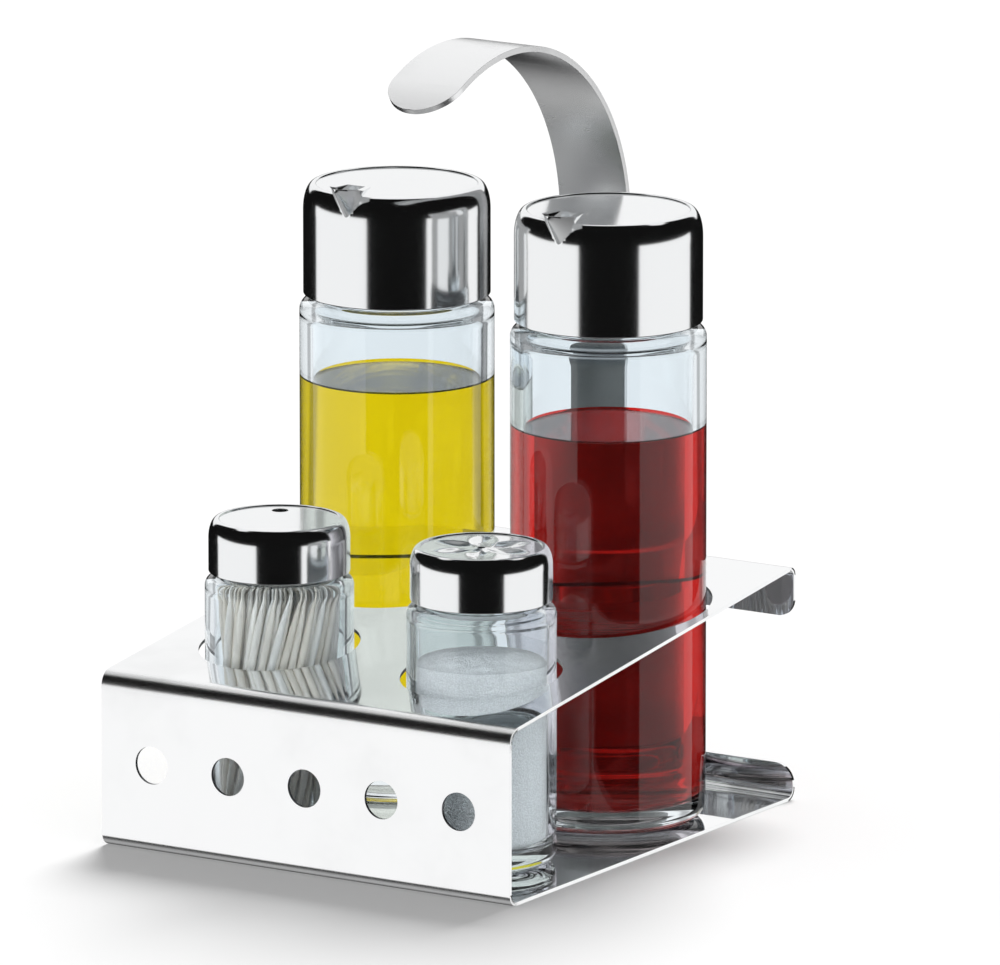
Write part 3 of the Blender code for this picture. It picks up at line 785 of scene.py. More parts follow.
def build_rivets():
    """One rivet's mesh, set in a grid behind the lips by Geometry Nodes."""
    low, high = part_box(RIVETS[0])
    grip_low, grip_high = low.y + 0.8 * MM, high.y - 1.0 * MM
    head, tail, shank = 2.7 * MM, 2.3 * MM, 1.5 * MM
    profile = [
        (0.0, high.y), *arc(head - 1.0 * MM, grip_high + 0.1 * MM, 1.0 * MM, 90, 0, 6, height=0.9 * MM),
        (head, grip_high), (shank, grip_high), (shank, grip_low), (tail, grip_low),
        *arc(tail - 0.5 * MM, grip_low - 0.3 * MM, 0.5 * MM, 0, -90, 4), (0.0, low.y),
    ]
    mesh = turned("handle_rivets", profile, Vector((0, 0, 0)), segments=32)
    mesh.transform(Matrix.Rotation(math.radians(-90), 4, "X"))
    rivet = place_object("rivet_pattern", mesh)
    spots = rivet_spots()
    xs, zs = [spot.x for spot in spots], [spot.z for spot in spots]
    finish = polished_metal("drawn_rivet_steel", (0.72, 0.73, 0.74), 0.16, 0.10, 0.08, 90.0, 0.2)
    modifier = rivet.modifiers.new("rows", "NODES")
    modifier.node_group = grid_tree()
    set_inputs(
        modifier,
        {
            "Spread X": max(xs) - min(xs), "Spread Z": max(zs) - min(zs),
            "Middle": (0.0, 0.0, (max(zs) + min(zs)) / 2), "Finish": finish,
        },
    )
    mesh = evaluated_mesh(rivet, "handle_rivets")
    add_piece("handle_rivets", mesh, finish, "stand", RIVETS)


# Geometry Nodes ------------------------------------------------------------------------------------


def new_tree(name, inputs):
    tree = bpy.data.node_groups.new(name, "GeometryNodeTree")
    tree.interface.new_socket(name="Geometry", in_out="INPUT", socket_type="NodeSocketGeometry")
    for label, kind in inputs:
        tree.interface.new_socket(name=label, in_out="INPUT", socket_type=kind)
    tree.interface.new_socket(name="Geometry", in_out="OUTPUT", socket_type="NodeSocketGeometry")
    return tree, tree.nodes.new("NodeGroupInput"), tree.nodes.new("NodeGroupOutput")


def set_inputs(modifier, values):
    """Sets a modifier's named inputs by their sockets' identifiers."""
    for item in modifier.node_group.interface.items_tree:
        if item.item_type == "SOCKET" and item.in_out == "INPUT" and item.name in values:
            modifier[item.identifier] = values[item.name]


def end_tree(tree, geometry, finish, out):
    """Realize Instances and Set Material, as the last nodes."""
    realize = tree.nodes.new("GeometryNodeRealizeInstances")
    painted = tree.nodes.new("GeometryNodeSetMaterial")
    link(tree, geometry, realize.inputs["Geometry"])
    link(tree, realize.outputs["Geometry"], painted.inputs["Geometry"])
    link(tree, finish, painted.inputs["Material"])
    link(tree, painted.outputs["Geometry"], out.inputs["Geometry"])


def grid_tree():
    """The given piece, repeated at the four corners of an upright rectangle."""
    tree, given, out = new_tree(
        "Rivet grid",
        [
            ("Spread X", "NodeSocketFloat"), ("Spread Z", "NodeSocketFloat"), ("Middle", "NodeSocketVector"),
            ("Finish", "NodeSocketMaterial"),
        ],
    )
    grid = tree.nodes.new("GeometryNodeMeshGrid")
    grid.inputs["Vertices X"].default_value = 2
    grid.inputs["Vertices Y"].default_value = 2
    link(tree, given.outputs["Spread X"], grid.inputs["Size X"])
    link(tree, given.outputs["Spread Z"], grid.inputs["Size Y"])
    stand_up = tree.nodes.new("GeometryNodeTransform")
    stand_up.inputs["Rotation"].default_value = (math.radians(90), 0.0, 0.0)
    link(tree, grid.outputs["Mesh"], stand_up.inputs["Geometry"])
    link(tree, given.outputs["Middle"], stand_up.inputs["Translation"])
    copies = tree.nodes.new("GeometryNodeInstanceOnPoints")
    link(tree, stand_up.outputs["Geometry"], copies.inputs["Points"])
    link(tree, given.outputs["Geometry"], copies.inputs["Instance"])
    end_tree(tree, copies.outputs["Instances"], given.outputs["Finish"], out)
    return tree


def perforation_tree():
    """Round holes through a cap's top: an optional middle one and a ring of more."""
    name = "Perforations"
    if name in bpy.data.node_groups:
        return bpy.data.node_groups[name]
    tree, given, out = new_tree(
        name,
        [
            ("Centre", "NodeSocketVector"), ("Hole Radius", "NodeSocketFloat"),
            ("Ring Radius", "NodeSocketFloat"), ("Holes", "NodeSocketInt"), ("Middle Holes", "NodeSocketInt"),
            ("First Angle", "NodeSocketFloat"), ("Finish", "NodeSocketMaterial"),
        ],
    )
    index = tree.nodes.new("GeometryNodeInputIndex").outputs["Index"]
    share = math_node(tree, "DIVIDE", index, given.outputs["Holes"])
    angle = math_node(tree, "MULTIPLY_ADD", share, 2 * math.pi)
    link(tree, given.outputs["First Angle"], angle.node.inputs[2])
    ring = tree.nodes.new("ShaderNodeCombineXYZ")
    for axis, operation in (("X", "COSINE"), ("Y", "SINE")):
        turned_share = math_node(tree, operation, angle)
        link(tree, math_node(tree, "MULTIPLY", turned_share, given.outputs["Ring Radius"]), ring.inputs[axis])
    spots = tree.nodes.new("GeometryNodeJoinGeometry")
    for count, position in (("Holes", ring.outputs["Vector"]), ("Middle Holes", None)):
        points = tree.nodes.new("GeometryNodePoints")
        link(tree, given.outputs[count], points.inputs["Count"])
        if position:
            link(tree, position, points.inputs["Position"])
        link(tree, points.outputs["Points"], spots.inputs["Geometry"])
    punch = tree.nodes.new("GeometryNodeMeshCylinder")
    punch.inputs["Vertices"].default_value = 40
    punch.inputs["Depth"].default_value = 6 * MM
    link(tree, given.outputs["Hole Radius"], punch.inputs["Radius"])
    copies = tree.nodes.new("GeometryNodeInstanceOnPoints")
    link(tree, spots.outputs["Geometry"], copies.inputs["Points"])
    link(tree, punch.outputs["Mesh"], copies.inputs["Instance"])
    place = tree.nodes.new("GeometryNodeTransform")
    link(tree, copies.outputs["Instances"], place.inputs["Geometry"])
    link(tree, given.outputs["Centre"], place.inputs["Translation"])
    punches = tree.nodes.new("GeometryNodeRealizeInstances")
    link(tree, place.outputs["Geometry"], punches.inputs["Geometry"])
    pierced = tree.nodes.new("GeometryNodeMeshBoolean")
    pierced.operation = "DIFFERENCE"
    link(tree, given.outputs["Geometry"], pierced.inputs["Mesh 1"])
    link(tree, punches.outputs["Geometry"], pierced.inputs["Mesh 2"])
    end_tree(tree, pierced.outputs["Mesh"], given.outputs["Finish"], out)
    return tree


def toothpick_tree():
    """The given toothpick in a twisted bundle, as picks settle in a jar, each with its own tone."""
    tree, given, out = new_tree(
        "Toothpick bundle",
        [
            ("Count", "NodeSocketInt"), ("Spread", "NodeSocketFloat"), ("Centre", "NodeSocketVector"),
            ("Height", "NodeSocketFloat"), ("Twist", "NodeSocketFloat"), ("Stray", "NodeSocketFloat"),
            ("Seed", "NodeSocketInt"), ("Finish", "NodeSocketMaterial"),
        ],
    )
    index = tree.nodes.new("GeometryNodeInputIndex").outputs["Index"]
    golden = math_node(tree, "MULTIPLY", index, math.pi * (3 - math.sqrt(5)))
    share = math_node(tree, "DIVIDE", math_node(tree, "ADD", index, 0.5), given.outputs["Count"])
    reach = math_node(tree, "MULTIPLY", math_node(tree, "SQRT", share), given.outputs["Spread"])
    strays = []
    for offset in range(2):
        stray = tree.nodes.new("FunctionNodeRandomValue")
        stray.data_type = "FLOAT"
        link(tree, math_node(tree, "ADD", given.outputs["Seed"], offset), stray.inputs["Seed"])
        strays.append(next(s for s in stray.outputs if s.type == "VALUE"))
    swing = math_node(tree, "MULTIPLY", math_node(tree, "SUBTRACT", strays[0], 0.5), given.outputs["Stray"])
    half_turn = math_node(tree, "MULTIPLY", math_node(tree, "ADD", given.outputs["Twist"], swing), 0.5)
    ends = []
    for operation in ("SUBTRACT", "ADD"):
        angle = math_node(tree, operation, golden, half_turn)
        end = tree.nodes.new("ShaderNodeCombineXYZ")
        for axis, wave in (("X", "COSINE"), ("Y", "SINE")):
            link(tree, math_node(tree, "MULTIPLY", math_node(tree, wave, angle), reach), end.inputs[axis])
        ends.append(end)
    link(tree, given.outputs["Height"], ends[1].inputs["Z"])
    run = vector_node(tree, "SUBTRACT", ends[1].outputs["Vector"], ends[0].outputs["Vector"])
    total = vector_node(tree, "ADD", ends[1].outputs["Vector"], ends[0].outputs["Vector"])
    middle = vector_node(tree, "MULTIPLY", total, (0.5, 0.5, 0.0))
    points = tree.nodes.new("GeometryNodePoints")
    link(tree, given.outputs["Count"], points.inputs["Count"])
    link(tree, middle, points.inputs["Position"])
    lean = tree.nodes.new("FunctionNodeAlignRotationToVector")
    lean.axis = "Z"
    link(tree, run, lean.inputs["Vector"])
    copies = tree.nodes.new("GeometryNodeInstanceOnPoints")
    link(tree, points.outputs["Points"], copies.inputs["Points"])
    link(tree, given.outputs["Geometry"], copies.inputs["Instance"])
    link(tree, lean.outputs["Rotation"], copies.inputs["Rotation"])
    stored = tree.nodes.new("GeometryNodeStoreNamedAttribute")
    stored.domain = "INSTANCE"
    stored.data_type = "FLOAT"
    stored.inputs["Name"].default_value = "pick_tone"
    link(tree, copies.outputs["Instances"], stored.inputs["Geometry"])
    link(tree, strays[1], stored.inputs["Value"])
    placed = tree.nodes.new("GeometryNodeTransform")
    link(tree, stored.outputs["Geometry"], placed.inputs["Geometry"])
    link(tree, given.outputs["Centre"], placed.inputs["Translation"])
    end_tree(tree, placed.outputs["Geometry"], given.outputs["Finish"], out)
    return tree


# Containers ----------------------------------------------------------------------------------------


def thread_swell(sizes, root, start, turns, height):
    """How far the thread stands out (or in, for a negative height) at an angle and height."""

    def swell(angle, radius, z):
        if abs(radius - root) > 0.02 * MM:
            return 0.0
        best = 0.0
        for turn in range(int(turns) + 2):
            run = angle / (2 * math.pi) + turn
            if run > turns:
                break
            away = abs(z - start - run * sizes.lead) / (0.26 * sizes.lead)
            fade = min(1.0, min(run, turns - run) / 0.12)
            best = max(best, fade * max(0.0, min(1.0, 1.7 * (1.0 - away))))
        return height * best * best * (3 - 2 * best)

    return swell


def glass_profile(sizes, radius):
    """From the middle of the floor up the inner wall, over the mouth and down the outside."""
    inner = radius - sizes.wall
    ledge = sizes.side_top + sizes.shoulder
    lip = 0.7 * MM
    foot = radius - sizes.heel
    bore_top = sizes.side_top - sizes.wall
    return [
        (0.0, sizes.floor + 0.8 * MM),
        *straight((0.0, sizes.floor + 0.8 * MM), (inner - sizes.heel, sizes.floor), 4)[:-1],
        *arc(inner - sizes.heel, sizes.floor + sizes.heel, sizes.heel, -90, 0),
        *straight((inner, sizes.floor + sizes.heel), (inner, bore_top), 6)[:-1],
        *arc(sizes.neck_bore, bore_top, inner - sizes.neck_bore, 0, 90, 8)[:-1],
        (sizes.neck_bore + 0.2 * MM, bore_top + inner - sizes.neck_bore),
        (sizes.neck_bore, bore_top + inner - sizes.neck_bore + 0.3 * MM),
        *arc(sizes.neck_bore + lip, sizes.neck_top - lip, lip, 180, 90, 5),
        *arc(sizes.neck_radius - lip, sizes.neck_top - lip, lip, 90, 0, 5),
        *straight((sizes.neck_radius, sizes.neck_top - lip), (sizes.neck_radius, ledge + 0.8 * MM), 44),
        *arc(sizes.neck_radius + 0.8 * MM, ledge + 0.8 * MM, 0.8 * MM, 180, 270, 4)[1:],
        *arc(radius - sizes.shoulder, sizes.side_top, sizes.shoulder, 90, 0, 10),
        *straight((radius, sizes.side_top), (radius, sizes.heel), 6)[:-1],
        *arc(foot, sizes.heel, sizes.heel, 0, -90, 10),
        (foot - 1.4 * MM, 0.0),
        *arc(foot - 1.4 * MM, 1.6 * MM, 1.6 * MM, -90, -130, 4)[1:],
        (0.62 * foot, 1.5 * MM), (0.3 * foot, 2.05 * MM), (0.0, 2.2 * MM),
    ]


def build_glass(kinds):
    looks = bpy.context.scene.cruet_glass
    for kind in kinds:
        sizes, radius = vessel_sizes(kind), vessel_radius(kind)
        node = vessel_node(kind)
        swell = thread_swell(sizes, sizes.neck_radius, sizes.ridge_start, sizes.turns, sizes.ridge)
        mesh = turned(f"{node}_glass", glass_profile(sizes, radius), vessel_foot(kind), swell=swell)
        finish = clear_material("moulded_clear_glass", looks.glass, 1.49, 45.0, 0.035)
        add_piece(f"{node}_glass", mesh, finish, node, [node])


def build_liquids():
    contents = bpy.context.scene.cruet_contents
    for kind, ior in (("oil", 1.46), ("vinegar", 1.35)):
        sizes = vessel_sizes(kind)
        foot = vessel_foot(kind)
        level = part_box(kind)[1].z - foot.z
        inner = vessel_radius(kind) - sizes.wall
        overlap = 0.12 * MM  # into the glass, so that no film of air is left between them
        side = inner + overlap
        rise, run = contents.meniscus, 2.2 * MM
        climb = [
            (inner - run + run * step / 10, level + rise * math.exp(-4.2 * (1 - step / 10)) * step / 10)
            for step in range(11)
        ]
        profile = [
            (0.0, level), *straight((0.0, level), (inner - run, level), 4)[:-1], *climb, (side, level + rise),
            *straight((side, level + rise), (side, sizes.floor + sizes.heel), 6)[:-1],
            *arc(side - sizes.heel, sizes.floor + sizes.heel - overlap, sizes.heel, 0, -90, 8),
            *straight((side - sizes.heel, sizes.floor - overlap), (0.0, sizes.floor + 0.8 * MM - overlap), 4),
        ]
        mesh = turned(f"{kind}_fill", profile, foot)
        tint = getattr(contents, kind)
        dense = (tint[0] * 0.96, tint[1] * 0.92, tint[2] * 0.8)
        # Near white: the painted pale colour a liquid shows in mirrors and behind other glass, as painted
        # light.
        pale = tuple(0.86 + 0.14 * channel for channel in tint)
        finish = clear_material(f"clear_{kind}", tint, ior, 18.0, 0.0, dense, pale)
        add_piece(f"{kind}_fill", mesh, finish, vessel_node(kind), [kind])


def build_salt():
    sizes = vessel_sizes("salt")
    foot = vessel_foot("salt")
    low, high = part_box("salt")
    inner = vessel_radius("salt") - sizes.wall - 0.15 * MM
    crown, edge = high.z - foot.z - 0.4 * MM, high.z - foot.z - 3.5 * MM
    rings = 26
    top = []
    for step in range(rings):
        share = step / rings
        top.append((inner * share, edge + (crown - edge) * (0.5 + 0.5 * math.cos(math.pi * share)) ** 0.8))
    profile = [
        *top, (inner, edge), *straight((inner, edge), (inner, sizes.floor + sizes.heel), 24)[:-1],
        *arc(inner - sizes.heel, sizes.floor + sizes.heel + 0.15 * MM, sizes.heel, 0, -90, 8),
        (0.0, sizes.floor + 0.95 * MM),
    ]
    mesh = turned("salt_fill", profile, foot, segments=160)
    for vert in mesh.vertices:
        spot = vert.co - foot
        if spot.z > edge - 0.6 * MM and spot.xy.length < inner - 0.05 * MM:
            lumps = noise.noise(spot * 260) * 0.45 * MM + noise.noise(spot * 900) * 0.22 * MM
            vert.co.z += lumps - 0.25 * MM
    finish = salt_material(bpy.context.scene.cruet_contents.salt)
    add_piece("salt_fill", mesh, finish, "salt_jar", ["salt"], sharp=60)


def build_toothpicks():
    contents = bpy.context.scene.cruet_contents
    foot = vessel_foot("toothpick")
    sizes = vessel_sizes("toothpick")
    inner = vessel_radius("toothpick") - sizes.wall
    half, radius = contents.pick_length / 2, contents.pick_radius
    taper = [
        (0.0, -half), (0.18, -half + 0.3 * MM), (0.62, -half + 5 * MM), (0.92, -half + 9 * MM),
        (1.0, -half + 13 * MM),
    ]
    profile = [(share * radius, z) for share, z in taper]
    profile += [(share * radius, -z) for share, z in reversed(taper)]
    mesh = turned("toothpick_bundle", profile, Vector((0, 0, 0)), segments=10)
    pick = place_object("toothpick_pattern", mesh)
    finish = wood_material(contents.wood)
    modifier = pick.modifiers.new("bundle", "NODES")
    modifier.node_group = toothpick_tree()
    middle = foot + Vector((0.0, 0.0, sizes.floor + 1.6 * MM + half))
    set_inputs(
        modifier,
        {
            "Count": contents.pick_count, "Spread": inner - 1.2 * radius, "Centre": tuple(middle),
            "Height": 2 * half, "Twist": math.radians(52.0), "Stray": math.radians(22.0), "Seed": 4,
            "Finish": finish,
        },
    )
    mesh = evaluated_mesh(pick, "toothpick_bundle")
    keep_inside(mesh, foot, inner - 0.2 * MM, sizes.floor + 1.0 * MM)
    add_piece("toothpick_bundle", mesh, finish, "toothpick_jar", PICKS, sharp=50)


def keep_inside(mesh, foot, reach, floor):
    """Presses points that lie outside the jar's inner wall or floor back in."""
    for vert in mesh.vertices:
        out = (vert.co - foot).xy
        if out.length > reach:
            out *= reach / out.length
            vert.co.x, vert.co.y = foot.x + out.x, foot.y + out.y
        vert.co.z = max(vert.co.z, foot.z + floor)


# Caps --------------------------------------------------------------------------------------------------


def shell_profile(sizes, disc_steps=3):
    """Over the dished top and the rounded edge, down to the rolled rim and back up inside."""
    wall, top, rim, radius = sizes.cap_wall, sizes.cap_top, sizes.cap_rim, sizes.cap_radius
    across, down = sizes.round_in, sizes.round_down
    roll = wall / 2
    dish = sizes.dish
    outside = arc(radius - across, top - down, across, 90, 0, 20, height=down)
    inside = arc(radius - across, top - down, across - wall, 0, 90, 20, height=down - wall)
    edge = radius - across - 0.25 * MM
    return [
        (0.0, top - dish), *straight((0.0, top - dish), (edge - dish, top - dish), disc_steps),
        *arc(edge, top - dish, dish, 180, 90, 6)[1:], *outside,
        *straight(outside[-1], (radius, rim + roll), 3)[:-1],
        *arc(radius - roll, rim + roll, roll, 0, -180, 8),
        *straight((radius - wall, rim + roll), inside[0], 3)[:-1], *inside,
        *straight(inside[-1], (0.0, top - wall), disc_steps),
    ]


def press_petals(mesh, sizes, foot):
    """Shallow petal-shaped dimples pressed into the salt cap's top, one around each hole of the ring."""
    holes = bpy.context.scene.cruet_perforations
    for vert in mesh.vertices:
        spot = vert.co - foot
        if spot.z < sizes.cap_top - 1.5 * sizes.cap_wall:
            continue
        for petal in range(holes.salt_holes):
            angle = 2 * math.pi * petal / holes.salt_holes
            cosine, sine = math.cos(angle), math.sin(angle)
            along = (spot.x * cosine + spot.y * sine - holes.salt_ring) / holes.petal_reach
            across = (spot.y * cosine - spot.x * sine) / holes.petal_half_width
            vert.co.z -= holes.petal_depth * max(0.0, 1 - along * along - across * across) ** 1.3


CAP_WALL_Y = 26.0 * MM  # from a bottle cap's axis to where its nib leaves the wall
HOLLOW_Y = 25.6 * MM  # and to where the nib's hollow has passed through the wall


def nib_section(nib, top, y, inset):
    """Half width, rim height and keel height of the nib at a distance from the cap's axis."""
    if y <= CAP_WALL_Y:
        share = (y - nib.root) / (CAP_WALL_Y - nib.root)
        half = nib.half_width * (0.78 + 0.22 * share)
        rim = top + nib.collar
        keel = top - 1.2 * MM - (nib.depth - 1.2 * MM) * share
    else:
        share = (y - CAP_WALL_Y) / (nib.reach - CAP_WALL_Y)
        half = nib.half_width * (1 - share) ** 0.85 + 0.3 * MM * share
        rim = top + nib.collar + (nib.rise - nib.collar) * share
        keel = top - nib.depth + (nib.depth + nib.rise - 0.75 * MM) * share ** 1.05
    if inset:
        half, keel, rim = half - 0.9 * inset, keel + 1.5 * inset, top + 6 * MM
    return max(half, 0.12 * MM), rim, keel


def nib_solid(name, nib, centre, top, start, stop, inset, steps=18):
    """A closed loft of rounded V sections along -Y."""
    bm = bmesh.new()
    spread = 10
    rows = []
    for step in range(steps + 1):
        y = start + (stop - start) * step / steps
        half, rim, keel = nib_section(nib, top, y, inset)
        if inset and y < HOLLOW_Y:
            keel = min(keel, top - nib.depth + 1.5 * inset)
        row = []
        for index in range(-spread, spread + 1):
            share = index / spread
            z = keel + (rim - keel) * abs(share) ** 1.35
            row.append(bm.verts.new((centre.x + half * share, centre.y - y, centre.z + z)))
        rows.append(row)
    for here, there in zip(rows, rows[1:]):
        for index in range(2 * spread):
            bm.faces.new((here[index], here[index + 1], there[index + 1], there[index]))
        bm.faces.new((here[-1], here[0], there[0], there[-1]))
    bm.faces.new(rows[0])
    bm.faces.new(rows[-1])
    bmesh.ops.recalc_face_normals(bm, faces=bm.faces)
    return place_object(name, mesh_from(bm, name))


def cap_chrome():
    return polished_metal(
        "cap_chrome", bpy.context.scene.cruet_glass.chrome, 0.012, 0.02, 0.006, 60.0, 0.0
    )


def build_bottle_caps():
    nib = bpy.context.scene.cruet_nib
    for kind in ("oil", "vinegar"):
        sizes, foot = vessel_sizes(kind), vessel_foot(kind)
        name = f"{kind}_cap_metal"
        shell = place_object(name, turned(name, shell_profile(sizes), foot))
        solid = nib_solid(f"{kind}_nib_solid", nib, foot, sizes.cap_top, nib.root, nib.reach, 0.0)
        start, stop = nib.root + nib.metal, nib.reach - 1.3 * nib.metal
        trough = nib_solid(f"{kind}_nib_trough", nib, foot, sizes.cap_top, start, stop, nib.metal)
        cut(shell, solid, "UNION")
        cut(shell, trough)
        mesh = evaluated_mesh(shell, name)
        bpy.data.objects.remove(solid)
        bpy.data.objects.remove(trough)
        mesh = broken_edges(mesh, name, 0.1 * MM, angle=48)
        add_piece(name, mesh, cap_chrome(), f"{kind}_cap", [f"{kind}_cap_shell"], sharp=0)


def build_jar_caps():
    holes = bpy.context.scene.cruet_perforations
    layout = {
        "salt": (holes.salt_radius, holes.salt_ring, holes.salt_holes, 1, 0.0),
        "toothpick": (holes.pick_radius, holes.pick_ring, 1, 0, holes.pick_angle),
    }
    for kind, (radius, ring, count, middle, angle) in layout.items():
        sizes, foot = vessel_sizes(kind), vessel_foot(kind)
        name = f"{kind}_cap_metal"
        disc_steps = 36 if kind == "salt" else 3
        shell = place_object(name, turned(name, shell_profile(sizes, disc_steps), foot))
        if kind == "salt":
            press_petals(shell.data, sizes, foot)
        modifier = shell.modifiers.new("holes", "NODES")
        modifier.node_group = perforation_tree()
        set_inputs(
            modifier,
            {
                "Centre": (foot.x, foot.y, foot.z + sizes.cap_top), "Hole Radius": radius,
                "Ring Radius": ring, "Holes": count, "Middle Holes": middle, "First Angle": angle,
                "Finish": cap_chrome(),
            },
        )
        mesh = broken_edges(evaluated_mesh(shell, name), name, 0.1 * MM, angle=48)
        add_piece(name, mesh, cap_chrome(), f"{kind}_cap", [f"{kind}_cap_shell"], sharp=0)


def build_cap_inserts():
    plastic = moulded_material("insert_plastic", (0.86, 0.86, 0.84), 0.38, 120.0)
    rubber = moulded_material("seal_rubber", (0.74, 0.74, 0.70), 0.62, 200.0)
    gap = 0.3 * MM
    for kind in VESSELS:
        sizes, foot = vessel_sizes(kind), vessel_foot(kind)
        low = sizes.neck_top + gap
        high = low + sizes.seal
        inner, outer = sizes.neck_bore + 0.2 * MM, sizes.neck_radius + 0.2 * MM
        edge = 0.25 * MM
        ring = [
            *arc(outer - edge, high - edge, edge, 90, 0, 4), *arc(outer - edge, low + edge, edge, 0, -90, 4),
            *arc(inner + edge, low + edge, edge, -90, -180, 4),
            *arc(inner + edge, high - edge, edge, 180, 90, 4),
        ]
        mesh = turned(f"{kind}_cap_ring", ring, foot, closed=True)
        add_piece(f"{kind}_cap_ring", mesh, rubber, f"{kind}_cap_seal", [f"{kind}_cap_seal"])

        bore = sizes.neck_radius + sizes.ridge + 0.4 * MM
        outside = sizes.cap_radius - sizes.cap_wall - 0.35 * MM
        web_low = high + gap
        web_high = web_low + sizes.web
        top, bottom = web_high + sizes.collar, sizes.cap_rim + 0.5 * MM
        body = [
            (outside - 0.9 * MM, top), (outside, top - 2.2 * MM), (outside, bottom + 0.3 * MM),
            (outside - 0.3 * MM, bottom), (bore + 0.3 * MM, bottom), (bore, bottom + 0.3 * MM),
            *straight((bore, bottom + 0.3 * MM), (bore, web_low), 44)[:-1], (bore, web_low),
            (sizes.web_bore + 0.3 * MM, web_low), (sizes.web_bore, web_low + 0.3 * MM),
            (sizes.web_bore, web_high - 0.3 * MM), (sizes.web_bore + 0.3 * MM, web_high),
            (bore - 0.6 * MM, web_high), (bore, web_high + 0.6 * MM), (bore, top),
        ]
        swell = thread_swell(sizes, bore, sizes.ridge_start + sizes.lead / 2, 1.0, -sizes.ridge)
        name, cap = f"{kind}_cap_insert", f"{kind}_cap"
        mesh = turned(name, body, foot, closed=True, swell=swell)
        add_piece(name, mesh, plastic, cap, [f"{kind}_cap_liner"], sharp=40)


# Stage ---------------------------------------------------------------------------------------------------


# Soft boxes: degrees around from the camera's side, then degrees above the horizon
FLANK_BOX = ((37.0, 118.0), (-30.0, 0.5))
BEHIND_BOX = ((146.0, 181.0), (4.0, 62.0))
ABOVE_BOX = ((100.0, 181.0), (50.0, 62.0))
TABLE_GLOW = (-66.0, -38.0, 0.55, 0.0)  # heights and strengths between which the table fades out
DARK_STUDIO = 0.006  # strength of the rest of the studio
MIRRORED_LEAST = 0.42  # least strength in a mirror that another mirror shows
ENCLOSED_LEAST = 0.50  # least strength past three walls of glass
BACKDROP_RISE = (100.0, 130.0, 0.06, 1.0)  # turns and strengths between which the backdrop brightens
FLAG_BAND = (136.0, 145.0, 5.0)  # turns where a flag stands, and how soft its edges are
FLAG_SHADE = 0.50
LAMP_STRENGTH = 2.75
LAMP_WIDTH = math.radians(27)
LAMP_DIRECTION = (0.22, -0.75, -1.0)
AIM = (0.0, -1.15 * MM, 100 * MM)
AIM_RIGHT, AIM_DOWN = 13.6, 2.35  # millimetres the camera looks beside and below the aim


def band(tree, value, low, high, soft):
    """1 between low and high, falling to 0 over soft outside them."""
    rise = map_range(tree, value, low - soft / 2, low + soft / 2)
    fall = map_range(tree, value, high - soft / 2, high + soft / 2, 1.0, 0.0)
    return math_node(tree, "MULTIPLY", rise, fall)


def box_light(tree, turn, height, turn_range, height_range, soft=2.0):
    """The part of the surroundings that one soft box covers, in degrees."""
    across = band(tree, turn, *turn_range, soft)
    return math_node(tree, "MULTIPLY", across, band(tree, height, *height_range, soft))


def choose(tree, factor, first, second):
    node = tree.nodes.new("ShaderNodeMix")
    node.data_type = "FLOAT"
    link(tree, factor, node.inputs["Factor"])
    feed(tree, first, node.inputs["A"])
    feed(tree, second, node.inputs["B"])
    return node.outputs["Result"]


def turn_from_camera(tree, vector, azimuth):
    """Degrees around the upright axis from the camera's side, and the turned vector's parts."""
    turn_to = tree.nodes.new("ShaderNodeMapping")
    turn_to.inputs["Rotation"].default_value = (0.0, 0.0, -azimuth)
    link(tree, vector, turn_to.inputs["Vector"])
    axes = tree.nodes.new("ShaderNodeSeparateXYZ")
    link(tree, turn_to.outputs["Vector"], axes.inputs[0])
    ahead = math_node(tree, "MULTIPLY", axes.outputs["Y"], -1.0)
    side = math_node(tree, "ARCTAN2", axes.outputs["X"], ahead)
    return math_node(tree, "DEGREES", math_node(tree, "ABSOLUTE", side)), axes


def backdrop(tree, turn):
    """What clear things show: bright straight behind, a soft flag either side, dark flanks."""
    rear = map_range(tree, turn, *BACKDROP_RISE)
    flag = math_node(tree, "MULTIPLY", band(tree, turn, *FLAG_BAND), FLAG_SHADE)
    return math_node(tree, "MULTIPLY", rear, math_node(tree, "SUBTRACT", 1.0, flag))


